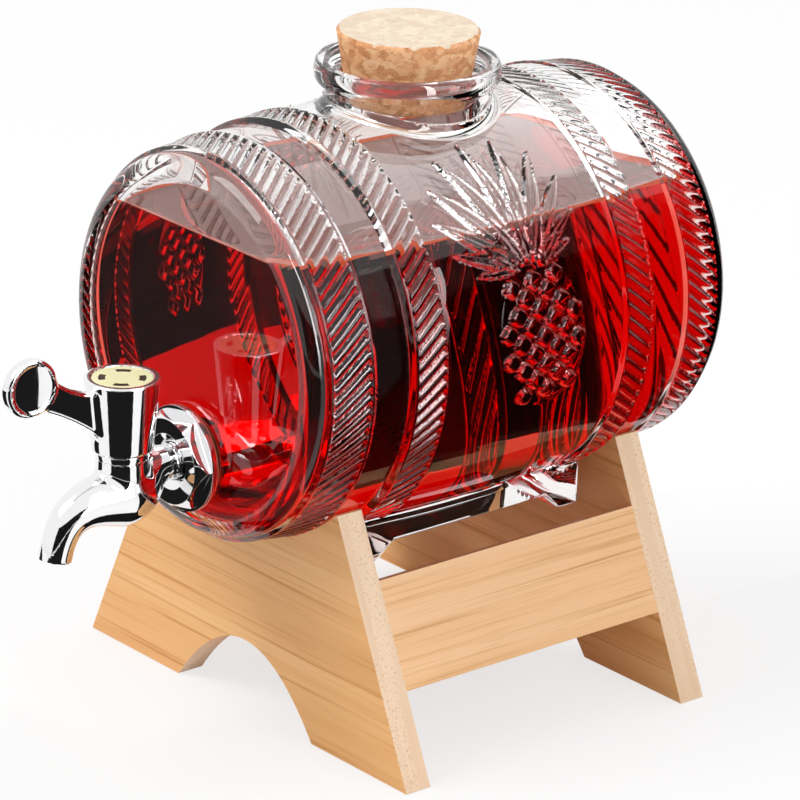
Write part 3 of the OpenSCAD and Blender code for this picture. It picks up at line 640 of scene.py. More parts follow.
def neck_bore():
    """Throat, tapered seat of the cork and flare up to the mouth."""
    throat = CORK_BOTTOM_R + CORK_GAP
    seat = cork_r(SEAT_TOP) + CORK_GAP
    above = LIP_TOP + 1
    flare = [
        (seat + (MOUTH_R - seat) * s ** FLARE_BEND, SEAT_TOP + (LIP_TOP - SEAT_TOP) * s)
        for s in np.linspace(0.1, 1, 10)
    ]
    profile = [(0, AXIS_Z), (throat, AXIS_Z), (throat, CORK_BOTTOM), (seat, SEAT_TOP)]
    profile += flare + [(MOUTH_R, above), (0, above)]
    return lathe("bore", profile, NECK_TURNS, upright)


def barrel_foot():
    """Foot with a recess in its sole and softened edges."""
    half = [(RECESS_Y - RECESS_SLANT, RECESS_Z), (RECESS_Y, SOLE_Z), (FOOT_Y, SOLE_Z), (FOOT_Y, FOOT_TOP)]
    side = [(-y, z) for y, z in half[::-1]] + half
    n = len(side)
    pts = [(x, y, z) for x in (-FOOT_HALF_W, FOOT_HALF_W) for y, z in side]
    faces = [list(range(n))[::-1], list(range(n, 2 * n))]
    faces += [[a, b, n + b, n + a] for a, b in pairs(range(n))]
    obj = outward(make("foot", pts, faces))
    soften(obj, FOOT_BEVEL, 4, 30)
    return settle(obj)


def tap_hole():
    """Hole in the front head for the tap's shank."""
    inner, outer = -HEAD_T - 1, 1
    profile = [(0, inner), (SHANK_HOLE_R, inner), (SHANK_HOLE_R, outer), (0, outer)]
    return lathe("hole", profile, BORE_TURNS, along_tap)


def glass_barrel():
    """Pressed glass with its neck, foot and hollows."""
    obj = barrel_outside()
    combine(obj, neck_outside(), "UNION")
    combine(obj, barrel_foot(), "UNION")
    combine(obj, lathe("hollow", cavity_profile(0.0), HOLLOW_TURNS, along_barrel), "DIFFERENCE")
    combine(obj, neck_bore(), "DIFFERENCE")
    combine(obj, tap_hole(), "DIFFERENCE")
    return shade(obj, GLASS_SHARP)


# Drink

def toward_edge(steps):
    """Shares from -1.1 to 1.1 that crowd together near -1 and 1."""
    inner = 1 - np.geomspace(0.004, 1, steps)
    half = np.concatenate([inner[:0:-1], inner[:1], [1.01, 1.1]])
    return np.concatenate([-half[::-1], half])


def border(n):
    """Numbers of the points round a grid of n by n."""
    ring = list(range(n)) + list(range(2 * n - 1, n * n, n))
    return ring + list(range(n * n - 2, n * n - n - 1, -1)) + list(range(n * n - 2 * n, 0, -n))


def drink_lid():
    """Solid above the drink, whose underside turns up along the glass."""
    end = HEAD_Y - HEAD_T
    share = toward_edge(LID_STEPS)
    y = end * share[:, None] + 0 * share[None, :]
    wide = np.sqrt((stave_r(np.minimum(np.abs(y), end)) - WALL) ** 2 - (DRINK_Z - AXIS_Z) ** 2)
    x = wide * share[None, :]
    gap = np.maximum(np.minimum(wide - np.abs(x), end - np.abs(y)), 0)
    low = DRINK_Z + MENISCUS_H * np.exp(-gap / MENISCUS_W)
    under = np.stack([x, y, low], -1).reshape(-1, 3)
    over = np.stack([x, y, 0 * x + DRINK_Z + LID_H], -1).reshape(-1, 3)
    n = len(share)
    grid = grid_faces(n, n, False)
    faces = grid.tolist() + (grid + n * n)[:, ::-1].tolist()
    faces += [[a, b, b + n * n, a + n * n] for a, b in pairs(border(n))]
    return outward(make("lid", np.concatenate([under, over]), faces))


def drink():
    """Drink in the hollow, round the tap's fittings."""
    obj = lathe("red_drink", cavity_profile(WET), HOLLOW_TURNS, along_barrel)
    combine(obj, drink_lid(), "DIFFERENCE")
    shank, back, lock = SHANK_R - WET, -FITTING_BACK, -LOCK_BACK
    fitting = [(0, back), (shank, back), (shank, lock), (FITTING_R, lock), (FITTING_R, 0), (0, 0)]
    combine(obj, lathe("fitting", fitting, BORE_TURNS, along_tap), "DIFFERENCE")
    return shade(obj, DRINK_SHARP)


def face_values(obj, key):
    """Centre or normal of each face, as x, y and z."""
    faces = obj.data.polygons
    values = np.empty(3 * len(faces))
    faces.foreach_get(key, values)
    return values.reshape(-1, 3).T


def paint(obj, numbers, materials):
    """Adds materials and gives each face the one of its number."""
    for material in materials:
        obj.data.materials.append(material)
    obj.data.polygons.foreach_set("material_index", np.asarray(numbers).astype(np.int32))
    obj.data.update()


def wet_glass(obj):
    """Faces of the hollow that the drink covers."""
    x, y, z = face_values(obj, "center") / MM
    within = np.hypot(x, z - AXIS_Z) < stave_r(y) - WALL / 2
    return within & (np.abs(y) < HEAD_Y - HEAD_T / 2) & (z < DRINK_Z)


def drink_faces(obj):
    """0 on the drink's surface, 1 against the glass, 2 on the raised edge."""
    height = face_values(obj, "center")[2] / MM - DRINK_Z
    wall = (height < -WET) | (face_values(obj, "normal")[2] < 0.2)
    edge = ~wall & (height > WET)
    return wall + 2 * edge


# Distance fields for the cast chrome pieces

def smooth_min(a, b, k):
    """Union of two fields with a fillet of about k."""
    h = np.clip(0.5 + 0.5 * (b - a) / k, 0, 1)
    return b + (a - b) * h - k * h * (1 - h)


def rounded(a, b, soft):
    """What two fields share, with the edge between them rounded by soft."""
    a, b = a + soft, b + soft
    return np.minimum(np.maximum(a, b), 0) + np.hypot(np.maximum(a, 0), np.maximum(b, 0)) - soft


def rod_field(p, axis, centre, radius, low, high, soft=0.0):
    """Distance to a cylinder along one axis, with edges rounded by soft."""
    others = [i for i in range(3) if i != axis]
    side = np.hypot(p[:, others[0]] - centre[0], p[:, others[1]] - centre[1]) - radius
    ends = np.abs(p[:, axis] - (low + high) / 2) - (high - low) / 2
    return rounded(side, ends, soft)


def sweep_field(p, centres, radii):
    """Distance to a tapering tube, as a chain of balls."""
    best = np.full(len(p), 1e9)
    for c, r in zip(centres, radii):
        best = np.minimum(best, np.sqrt(((p - c) ** 2).sum(1)) - r)
    return best


def outline_field(a, b, points):
    """Signed distance to a closed outline in a plane."""
    best = np.full(len(a), 1e18)
    inside = np.zeros(len(a), bool)
    for (x0, y0), (x1, y1) in pairs(points):
        ex, ey = x1 - x0, y1 - y0
        wx, wy = a - x0, b - y0
        t = np.clip((wx * ex + wy * ey) / (ex * ex + ey * ey), 0, 1)
        best = np.minimum(best, (wx - t * ex) ** 2 + (wy - t * ey) ** 2)
        inside ^= ((y0 > b) != (y1 > b)) & (a < ex * (b - y0) / (ey if ey else 1e-12) + x0)
    return np.where(inside, -1, 1) * np.sqrt(best)


def sample(field, low, high):
    """Values of a field on a grid of points."""
    axes = [np.arange(a, b + NET_STEP, NET_STEP) for a, b in zip(low, high)]
    pts = np.stack(np.meshgrid(*axes, indexing="ij"), -1).reshape(-1, 3)
    parts = [field(c) for c in np.array_split(pts, NET_PARTS)]
    return np.concatenate(parts).reshape([len(a) for a in axes])


def crossings(value):
    """Sum and count of the zero crossings on each cell's edges."""
    cells = tuple(s - 1 for s in value.shape)
    total, count = np.zeros(cells + (3,)), np.zeros(cells)
    corners = [(i, j, k) for i in (0, 1) for j in (0, 1) for k in (0, 1)]
    corner = {c: value[tuple(slice(o, o + n) for o, n in zip(c, cells))] for c in corners}
    for c, axis in [(c, axis) for c in corners for axis in range(3) if not c[axis]]:
        d = tuple(1 if i == axis else o for i, o in enumerate(c))
        a, b = corner[c], corner[d]
        cross = (a < 0) != (b < 0)
        t = np.where(cross, a / np.where(cross, a - b, 1), 0)
        for i in range(3):
            total[..., i] += np.where(cross, c[i] + (t if i == axis else 0), 0)
        count += cross
    return total, count


def cell_quads(value, index, axis):
    """Quads round the grid's edges along one axis that cross zero."""
    u, v = (axis + 1) % 3, (axis + 2) % 3
    a = value[tuple(slice(0, -1) if i == axis else slice(1, -1) for i in range(3))]
    b = value[tuple(slice(1, None) if i == axis else slice(1, -1) for i in range(3))]
    where = np.stack(np.nonzero((a < 0) != (b < 0)), -1)
    flip = (a < 0)[tuple(where.T)]
    where[:, u] += 1
    where[:, v] += 1
    quad = []
    for du, dv in ((1, 1), (0, 1), (0, 0), (1, 0)):
        w = where.copy()
        w[:, u] -= du
        w[:, v] -= dv
        quad.append(index[tuple(w.T)])
    quad = np.stack(quad, -1)
    quad[~flip] = quad[~flip][:, ::-1]
    return quad


def pull(field, verts):
    """Draws points towards the field's zero surface."""
    eps = 0.02
    most = 0.4 * NET_STEP
    slope = np.stack([
        (field(verts + eps * step) - field(verts - eps * step)) / (2 * eps) for step in np.eye(3)
    ], -1)
    size = np.maximum((slope ** 2).sum(1), 0.2)
    return verts - np.clip(field(verts) / size, -most, most)[:, None] * slope


def net(name, field, low, high):
    """Quad mesh of a field's zero surface."""
    value = sample(field, low, high)
    total, count = crossings(value)
    used = count > 0
    index = np.full(count.shape, -1)
    index[used] = np.arange(used.sum())
    origin = np.stack(np.nonzero(used), -1)
    verts = np.array(low) + (origin + total[used] / count[used][:, None]) * NET_STEP
    for _ in range(NET_PULLS):
        verts = pull(field, verts)
    faces = np.concatenate([cell_quads(value, index, axis) for axis in range(3)])
    return shade(outward(make(name, verts, faces)), CHROME_SHARP)


# Tap

def bezier(points, t):
    """Point of a cubic curve with four knots."""
    p, s = [np.array(q, float) for q in points], 1 - t
    return s ** 3 * p[0] + 3 * s * s * t * p[1] + 3 * s * t * t * p[2] + t ** 3 * p[3]


def flow_line():
    """Centres and radii from the inlet pipe to the spout's tip."""
    line, radii = [], []
    for s in np.linspace(0, 1, TAIL_STEPS, endpoint=False):
        ease = s * s * (3 - 2 * s)
        line.append((-TAIL * (1 - s), TAP_Z + (BULB_Z - TAP_Z) * ease))
        radii.append(PIPE_ROOT_R + (BULB_R - PIPE_ROOT_R) * ease)
    near, far = SPOUT_REACH
    knots = [(0, BULB_Z), (near, BULB_Z), (far, BULB_Z + SPOUT_RISE), (TIP_D, TIP_Z)]
    for t in np.linspace(0, SPOUT_END, SPOUT_STEPS):
        line.append(tuple(bezier(knots, t)))
        radii.append(TIP_R + (BULB_R - TIP_R) * max(1 - t, 0) ** SPOUT_TAPER)
    return np.array([(0, -TURRET_Y - d, z) for d, z in line]), np.array(radii)


def shank_field(p):
    """Distance to the threaded shank."""
    swirl = np.arctan2(p[:, 2] - TAP_Z, p[:, 0]) / (2 * pi)
    thread = THREAD_R + THREAD_H * np.cos(2 * pi * (p[:, 1] / THREAD_PITCH - swirl))
    shank = np.hypot(p[:, 0], p[:, 2] - TAP_Z) - thread
    return np.maximum(shank, np.abs(p[:, 1] + HEAD_Y - SHANK_MIDDLE) - SHANK_HALF)


def tap_hollow(p, spout):
    """Distance to the tap's inside: spout, inlet and valve chamber."""
    bore = sweep_field(p, spout, np.full(len(spout), FLOW_R))
    inlet = rod_field(p, 1, (0, TAP_Z), FLOW_R, -TURRET_Y, FLOW_END)
    chamber = rod_field(p, 2, TURRET, CHAMBER_R, CHAMBER_Z, RIM_TOP + 2)
    return np.minimum(np.minimum(bore, inlet), chamber)


def tap_body():
    """Cast tap: inlet pipe, swelling round the valve and curved spout."""
    centres, radii = flow_line()
    tip = np.array([0, -TURRET_Y - TIP_D, TIP_Z])
    lean = np.array([0, TIP_LEAN, TIP_Z - BULB_Z - SPOUT_RISE])
    lean = lean / np.linalg.norm(lean)
    spout = centres[SPOUT_BORE_START::3]

    def field(p):
        body = np.maximum(sweep_field(p, centres[::2], radii[::2]), (p - tip) @ lean)
        neck = rod_field(p, 2, TURRET, COLLAR_R, BULB_Z, SEAT_Z)
        pipe = rod_field(p, 1, (0, TAP_Z), PIPE_R, -TURRET_Y, PIPE_END)
        solid = smooth_min(smooth_min(body, neck, 1.6), pipe, 1.2)
        solid = np.minimum(solid, rod_field(p, 2, TURRET, RIM_R, BULB_Z, RIM_TOP))
        solid = np.minimum(solid, shank_field(p))
        return np.maximum(solid, -tap_hollow(p, spout))

    return net("tap_body_cast", field, TAP_LOW, TAP_HIGH)


def bow(a, b, c):
    """Points of a curve that leaves a towards b and ends in c."""
    a, b, c = np.array(a), np.array(b), np.array(c)
    return [
        tuple((1 - t) ** 2 * a + 2 * (1 - t) * t * b + t * t * c) for t in np.linspace(0, 1, ARM_STEPS)
    ]


def arm_outline():
    """Closed outline of the lever's arm in the plane of (reach, height)."""
    pad = np.array([PAD_D, PAD_Z])
    turn = radians(ARM_END_TURN)
    top = pad + ARM_END * np.array([cos(turn), sin(turn)])
    low = pad + ARM_END * np.array([0, -1.0])
    upper = bow((ARM_ROOT, CAP_Z + 16.8), (ARM_BEND, CAP_Z + 17.7), top)
    lower = bow((ARM_ROOT, CAP_Z + 2.6), (ARM_BEND, CAP_Z + 12.7), low)
    return upper + lower[::-1]


def cap_field(p):
    """Distance to the handle's conical cap."""
    z = p[:, 2]
    rho = np.hypot(p[:, 0], p[:, 1] + TURRET_Y)
    wall = CAP_FOOT_R + (CAP_TOP_R - CAP_FOOT_R) * (z - CAP_Z) / (CAP_TOP - CAP_Z)
    ends = np.abs(z - (CAP_Z + CAP_TOP) / 2) - (CAP_TOP - CAP_Z) / 2
    return rounded((rho - wall) * CAP_TILT, ends, CAP_SOFT)


def dished(p, solid):
    """Hollows both faces of the thumb pad."""
    off = np.hypot(p[:, 1] + TURRET_Y + PAD_D, p[:, 2] - PAD_Z)
    dish = PAD_T / 2 - DISH_H * np.clip(1 - (off / DISH_R) ** 2, 0, 1) ** 0.5
    return np.where(off < DISH_R, np.maximum(solid, np.abs(p[:, 0]) - dish), solid)


def tap_handle():
    """Cast handle: conical cap, arm and dished thumb pad."""
    arm_points = arm_outline()

    def field(p):
        flat = outline_field(-(p[:, 1] + TURRET_Y), p[:, 2], arm_points)
        arm = rounded(flat, np.abs(p[:, 0]) - PAD_T / 2, ARM_SOFT)
        pad = rod_field(p, 0, (-TURRET_Y - PAD_D, PAD_Z), PAD_R, -PAD_T / 2, PAD_T / 2, PAD_SOFT)
        solid = smooth_min(smooth_min(cap_field(p), arm, 2.0), pad, 0.8)
        hollow = np.minimum.reduce([rod_field(p, 2, TURRET, *rod) for rod in CAP_HOLLOWS])
        return np.maximum(dished(p, solid), -hollow)

    return net("tap_handle_cast", field, HANDLE_LOW, HANDLE_HIGH)


# Cork

def cork_rows():
    """Profile of the cork as (radius, height), fine enough for its pits."""
    rows = [(0.0, 0.0)]
    rows += [(r, 0.0) for r in np.linspace(CORK_MIDDLE, CORK_BOTTOM_R - CORK_BEVEL, 12)]
    rows += [(cork_r(CORK_BOTTOM + h), h) for h in np.linspace(CORK_BEVEL, CORK_H - CORK_BEVEL, 22)]
    rows += [(r, CORK_H) for r in np.linspace(CORK_TOP_R - CORK_BEVEL, CORK_MIDDLE, 26)]
    return rows + [(0.0, CORK_H)]


def pit_depth(points):
    """Depth of the cork's pits at each point; their places are seeded."""
    rng = np.random.default_rng(PIT_SEED)
    depth = np.zeros(len(points))
    for _ in range(PITS):
        a = rng.uniform(0, 2 * pi)
        on_top = rng.uniform() < PITS_ON_TOP
        h = CORK_H if on_top else rng.uniform(2, CORK_H - 1)
        r = CORK_TOP_R * sqrt(rng.uniform(0, 0.95)) if on_top else cork_r(CORK_BOTTOM + h)
        spot = np.array([r * cos(a), r * sin(a), CORK_BOTTOM + h])
        size = rng.uniform(*PIT_SIZE)
        gap = np.sqrt(((points - spot) ** 2).sum(1))
        depth = np.maximum(depth, 0.5 * size * np.clip(1 - (gap / size) ** 2, 0, 1))
    return depth


def cork():
    """Tapered stopper with softly worn edges and small pits."""
    profile = [(r, CORK_BOTTOM + h) for r, h in cork_rows()]
    obj = lathe("cork_stopper_grained", profile, CORK_TURNS, upright)
    vertices = obj.data.vertices
    points = np.array([v.co for v in vertices]) / MM
    normals = np.array([v.normal for v in vertices])
    moved = (points - normals * pit_depth(points)[:, None]) * MM
    vertices.foreach_set("co", moved.astype(np.float32).ravel())
    obj.data.update()
    return shade(obj, CORK_SHARP)


# Materials

class Nodes:
    """Builds a material's nodes; sources and results are output sockets."""

    def __init__(self, name):
        self.material = bpy.data.materials.new(name)
        self.material.use_nodes = True
        self.tree = self.material.node_tree
        self.bsdf = self.tree.nodes["Principled BSDF"]
        self.out = self.tree.nodes["Material Output"]

    def put(self, node, into, value):
        """Links a source to a node's input, or gives the input a plain value."""
        if isinstance(value, bpy.types.NodeSocket):
            self.tree.links.new(value, node.inputs[into])
        else:
            node.inputs[into].default_value = value

    def add(self, kind, **values):
        """New node, with sources or values for its inputs, or else values for its settings."""
        node = self.tree.nodes.new(kind)
        for key, value in values.items():
            if key in node.inputs:
                self.put(node, key, value)
            else:
                setattr(node, key, value)
        return node

    def set(self, **values):
        """Sources or values for the main shader's inputs, with _ for a space in their names."""
        for key, value in values.items():
            self.put(self.bsdf, key.replace("_", " "), value)

    def place(self, scale=(1, 1, 1), shift=(0, 0, 0)):
        """Object coordinates in metres, stretched by a scale and then shifted."""
        coords = self.add("ShaderNodeTexCoord").outputs["Object"]
        return self.add("ShaderNodeMapping", Vector=coords, Scale=scale, Location=shift).outputs[0]

    def noise(self, where, scale=1.0, detail=3.0, rough=0.5, out="Fac"):
        node = self.add("ShaderNodeTexNoise", Vector=where, Scale=scale, Detail=detail, Roughness=rough)
        return node.outputs[out]

    def ramp(self, source, *stops):
        """Colour by a source, from stops of (place, colour)."""
        node = self.add("ShaderNodeValToRGB", Fac=source)
        elements = node.color_ramp.elements
        while len(elements) < len(stops):
            elements.new(0.5)
        for element, (at, colour) in zip(elements, stops):
            element.position = at
            element.color = (*colour, 1)
        return node.outputs[0]

    def mix(self, a, b, factor, how="MIX"):
        """Mix of two colours."""
        node = self.add("ShaderNodeMix", data_type="RGBA", blend_type=how, A=a, B=b, Factor=factor)
        return node.outputs["Result"]

    def math(self, operation, *values):
        node = self.add("ShaderNodeMath", operation=operation)
        for i, value in enumerate(values):
            self.put(node, i, value)
        return node.outputs[0]

    def length(self, source):
        return self.add("ShaderNodeVectorMath", operation="LENGTH", Vector=source).outputs["Value"]

    def split(self, source):
        """X, Y and Z of a vector."""
        return list(self.add("ShaderNodeSeparateXYZ", Vector=source).outputs)

    def facing(self):
        """X, Y and Z of the surface's normal."""
        return self.split(self.add("ShaderNodeNewGeometry").outputs["Normal"])

    def bump(self, source, strength, distance):
        node = self.add("ShaderNodeBump", Height=source, Strength=strength, Distance=distance)
        self.set(Normal=node.outputs[0])


def grey(level):
    return (level, level, level)


def glass_material(name, glint):
    """Clear pressed glass with slow waves; glint scales its mirror reflection."""
    n = Nodes(name)
    n.set(Base_Color=(1.0, 0.99, 0.985, 1), Roughness=0.0, IOR=1.5, Transmission_Weight=1.0)
    n.set(Specular_Tint=(*grey(glint), 1))
    n.bump(n.noise(n.place(), scale=38.0, detail=1.0), strength=0.05, distance=0.002)
    return n.material


def drink_material(name, base, glint, clear):
    """Red drink that soaks up green and blue; clear is the share let through."""
    n = Nodes(name)
    n.set(Base_Color=(*base, 1), Roughness=0.0, IOR=1.34, Transmission_Weight=clear)
    n.set(Specular_Tint=(*glint, 1))
    soak = n.add("ShaderNodeVolumeAbsorption", Color=(0.985, 0.19, 0.05, 1), Density=210.0)
    n.put(n.out, "Volume", soak.outputs[0])
    return n.material


def chrome_material():
    """Mirror chrome with faint smears in its gloss."""
    n = Nodes("polished_chrome")
    n.set(Base_Color=(0.88, 0.88, 0.89, 1), Metallic=1.0)
    smear = n.noise(n.place(), scale=180.0, detail=4.0)
    n.set(Roughness=n.ramp(smear, (0.35, grey(0.03)), (0.75, grey(0.08))))
    return n.material


def lengths(along, across, length):
    """Stretch of a texture: fine across the grain and long along it."""
    return tuple(length if i == along else across for i in range(3))


def end_share(n, along):
    """1 on faces that cut across the grain and 0 on those along it."""
    size = n.math("ABSOLUTE", n.facing()[along])
    return n.ramp(size, (0.55, BLACK), (0.75, WHITE))


def end_grain(n):
    """Pale cut ends: smooth plies beside plies with fine pores."""
    plies = n.noise(n.place((20.0, 330.0, 14.0)), detail=1.0)
    pale = n.ramp(plies, (0.35, PLY_DARK), (0.65, PLY_LIGHT))
    pores = n.add("ShaderNodeTexVoronoi", Vector=n.place(), Scale=1150.0)
    dots = n.ramp(pores.outputs["Distance"], (0.14, PORE_DARK), (0.34, WHITE))
    porous = n.ramp(plies, (0.44, grey(0.1)), (0.56, grey(0.7)))
    return n.mix(pale, dots, porous, "MULTIPLY")


def bamboo_node(n, colour, middle):
    """Darkens the short scar of a stalk's node round one place."""
    across, up = NODE_STRETCH
    shift = (-across * middle[0] * MM, 0.0, -up * middle[1] * MM)
    far = n.length(n.place((across, 0.0, up), shift))
    wrinkle = n.noise(n.place((240.0, 1.0, 420.0)), detail=2.0)
    scar = n.ramp(n.math("ADD", far, wrinkle), (0.55, SCAR_DARK), (0.9, WHITE))
    return n.mix(colour, scar, 1.0, "MULTIPLY")


def bamboo_material(name, along, tones, node=None):
    """Bamboo: soft bands, dark fibres along one axis and pale ends."""
    n = Nodes(name)
    bands = n.noise(n.place(lengths(along, 150.0, 4.0)), detail=2.0)
    fibres = n.noise(n.place(lengths(along, 900.0, 11.0)), detail=4.0, rough=0.55)
    hairs = n.noise(n.place(lengths(along, 2100.0, 40.0)), detail=2.0)
    dark, middle, light = tones
    base = n.ramp(bands, (0.3, dark), (0.5, middle), (0.7, light))
    streaks = n.ramp(fibres, (0.3, FIBRE_DARK), (0.4, FIBRE_SOFT), (0.47, WHITE))
    lines = n.ramp(hairs, (0.3, HAIR_DARK), (0.42, WHITE), (0.75, WHITE))
    face = n.mix(base, streaks, 0.9, "MULTIPLY")
    face = n.mix(face, lines, 0.6, "MULTIPLY")
    if node:
        face = bamboo_node(n, face, node)
    gloss = n.ramp(bands, (0.3, grey(0.42)), (0.7, grey(0.55)))
    n.set(Base_Color=n.mix(face, end_grain(n), end_share(n, along)), Roughness=gloss)
    n.bump(fibres, strength=0.15, distance=0.0004)
    n.set(Specular_IOR_Level=0.35)
    return n.material


def cork_grains(n, where):
    """Soft grains with uneven edges."""
    bend = n.noise(where, scale=420.0, detail=2.0, out="Color")
    warped = n.add("ShaderNodeMix", data_type="VECTOR", A=where, B=bend, Factor=0.004).outputs["Result"]
    grains = n.add("ShaderNodeTexVoronoi", feature="SMOOTH_F1", Vector=warped, Scale=420.0, Smoothness=0.35)
    return grains.outputs["Color"]


def cork_material():
    """Cork: grains of several browns with dark flecks; the top is paler, partly as its cut face and partly
    as painted light from above.
    """
    n = Nodes("cork")
    where = n.place((1, 1, 1.5))
    grains = cork_grains(n, where)
    clouds = n.noise(where, scale=260.0, detail=4.0, rough=0.6)
    flecks = n.noise(where, scale=1000.0, detail=4.0, rough=0.6)
    tone = n.ramp(grains, *zip((0.25, 0.5, 0.8), CORK_BROWNS))
    shadow = n.ramp(clouds, (0.33, CORK_SHADOW), (0.48, WHITE))
    specks = n.ramp(flecks, (0.3, CORK_FLECK), (0.39, WHITE))
    side = n.mix(n.mix(tone, shadow, 0.7, "MULTIPLY"), specks, 0.85, "MULTIPLY")
    # Paler top facing up: partly the cut face, partly painted light from above
    cream = n.ramp(grains, (0.25, CORK_CUT_AND_LIT_TOP_DARK), (0.8, CORK_CUT_AND_LIT_TOP_LIGHT))
    rare = n.ramp(flecks, (0.27, CORK_CUT_AND_LIT_TOP_FLECK), (0.34, WHITE))
    top = n.mix(cream, rare, 0.85, "MULTIPLY")
    up = n.ramp(n.facing()[2], (0.6, BLACK), (0.85, WHITE))
    n.set(Base_Color=n.mix(side, top, up))
    n.bump(flecks, strength=0.3, distance=0.0006)
    n.set(Roughness=0.85)
    return n.material


def plain_material(name, colour, rough, spread=0.06, metallic=0.0):
    """Material with a slight mottle in colour and surface."""
    n = Nodes(name)
    mottle = n.noise(n.place(), scale=300.0)
    dark = tuple(max(c - spread, 0) for c in colour)
    light = tuple(min(c + spread, 1) for c in colour)
    n.set(Base_Color=n.ramp(mottle, (0.3, dark), (0.7, light)))
    n.bump(mottle, strength=0.05, distance=0.0003)
    n.set(Roughness=rough, Metallic=metallic)
    return n.material


def index_arcs(n):
    """1 on four arcs round the disc's middle and 0 beside them."""
    x, y, _ = n.split(n.place(shift=(0, TURRET_Y * MM, 0)))
    flat = n.add("ShaderNodeCombineXYZ", X=x, Y=y)
    ring = n.math("COMPARE", n.length(flat.outputs[0]), ARC_R * MM, ARC_HALF_W * MM)
    turn = n.math("MULTIPLY_ADD", n.math("ARCTAN2", y, x), ARC_COUNT, radians(ARC_TURN))
    return n.math("MULTIPLY", ring, n.math("GREATER_THAN", n.math("COSINE", turn), ARC_LIMIT))


def index_material():
    """Cream disc with printed arcs."""
    n = Nodes("index_cream")
    mottle = n.noise(n.place(), scale=500.0)
    tone = n.ramp(mottle, (0.3, CREAM_DARK), (0.7, CREAM_LIGHT))
    ink = n.ramp(mottle, (0.3, INK_DARK), (0.7, INK_LIGHT))
    n.set(Base_Color=n.mix(tone, ink, index_arcs(n)))
    n.set(Roughness=0.25)
    return n.material


# Camera, light and studio

def camera():
    """Camera at the photo's angle."""
    azimuth, elevation, roll = (radians(a) for a in (VIEW_TURN, VIEW_RISE, VIEW_ROLL))
    level = cos(elevation)
    back = Vector((sin(azimuth) * level, -cos(azimuth) * level, sin(elevation)))
    right = Vector((cos(azimuth), sin(azimuth), 0))
    up = back.cross(right)
    turned = right * cos(roll) + up * sin(roll)
    lifted = up * cos(roll) - right * sin(roll)
    data = bpy.data.cameras.new("camera")
    data.lens = LENS
    data.sensor_width = SENSOR
    data.clip_end = VIEW_END
    obj = enter("camera", data)
    place = VIEW_MIDDLE + back * VIEW_REACH
    obj.matrix_world = Matrix((*zip(turned, lifted, back, place), (0, 0, 0, 1)))
    bpy.context.scene.camera = obj


def area_light(name, place, size, power):
    """Soft lamp that points at the object."""
    light = bpy.data.lights.new(name, "AREA")
    light.shape = "RECTANGLE"
    light.size, light.size_y = size
    light.energy = power
    obj = enter(name, light)
    obj.location = place
    obj.rotation_euler = (Vector(LAMP_TARGET) - Vector(place)).to_track_quat("-Z", "Y").to_euler()


def seen_rays(tree):
    """1 for camera, glossy and transmission rays and 0 for the others."""
    path = tree.nodes.new("ShaderNodeLightPath")
    total = path.outputs["Is Camera Ray"]
    for kind in ("Is Glossy Ray", "Is Transmission Ray"):
        both = tree.nodes.new("ShaderNodeMath")
        both.use_clamp = True
        tree.links.new(total, both.inputs[0])
        tree.links.new(path.outputs[kind], both.inputs[1])
        total = both.outputs[0]
    return total


def blend_shaders(tree, factor, first, second, out):
    """Links a mix of two shader nodes to the tree's surface."""
    both = tree.nodes.new("ShaderNodeMixShader")
    tree.links.new(factor, both.inputs["Fac"])
    tree.links.new(first.outputs[0], both.inputs[1])
    tree.links.new(second.outputs[0], both.inputs[2])
    tree.links.new(both.outputs[0], out.inputs["Surface"])


def floor():
    """White floor that still takes the object's shadow."""
    corners = [(x * FLOOR_SIZE, y * FLOOR_SIZE, FLOOR_Z) for x, y in ((-1, -1), (1, -1), (1, 1), (-1, 1))]
    obj = make("floor", corners, [[0, 1, 2, 3]])
    n = Nodes("floor_white")
    n.set(Base_Color=(*grey(FLOOR_TONE), 1), Roughness=0.6)
    glow = n.add("ShaderNodeEmission", Strength=1.0)
    share = n.math("MULTIPLY", seen_rays(n.tree), FLOOR_GLOW)
    blend_shaders(n.tree, share, n.bsdf, glow, n.out)
    obj.data.materials.append(n.material)


def world():
    """White surroundings, dimmer as a source of light than as a background."""
    scene_world = bpy.data.worlds.new("studio")
    bpy.context.scene.world = scene_world
    scene_world.use_nodes = True
    tree = scene_world.node_tree
    ambient = tree.nodes["Background"]
    backdrop = tree.nodes.new("ShaderNodeBackground")
    for background, strength in ((ambient, AMBIENT), (backdrop, 1.0)):
        background.inputs["Color"].default_value = (*WHITE, 1)
        background.inputs["Strength"].default_value = strength
    blend_shaders(tree, seen_rays(tree), ambient, backdrop, tree.nodes["World Output"])


def flag(name, points, tone, through):
    """Dark card that shows in reflections, and through glass where through is set."""
    obj = make(name, points, [list(range(len(points)))], smooth=False)
    n = Nodes(name)
    n.set(Base_Color=(*grey(tone), 1), Roughness=1.0, Specular_IOR_Level=0.0)
    obj.data.materials.append(n.material)
    obj.visible_camera = False
    obj.visible_diffuse = False
    obj.visible_shadow = False
    obj.visible_transmission = through
    return obj


def arc_card(name, span, first, second, middle, through):
    """Dark card between two arcs of (reach, height)."""
    turns = np.radians(VIEW_TURN + np.linspace(*span, CARD_STEPS))
    edges = [(a, *first) for a in turns] + [(a, *second) for a in turns[::-1]]
    flag(name, [(r * sin(a), middle - r * cos(a), z) for a, r, z in edges], CARD_TONE, through)


def catch_light(name, points, strength, dark, bright):
    """Bright card that shows in reflections and fades out below, between two heights."""
    obj = flag(name, points, 0.0, False)
    n = Nodes(name + "_glow")
    limits = {"From Min": dark * MM, "From Max": bright * MM, "To Max": strength}
    rise = n.add("ShaderNodeMapRange", Value=n.split(n.place())[2], **limits)
    glow = n.add("ShaderNodeEmission", Strength=rise.outputs[0])
    n.put(n.out, "Surface", glow.outputs[0])
    obj.data.materials.clear()
    obj.data.materials.append(n.material)


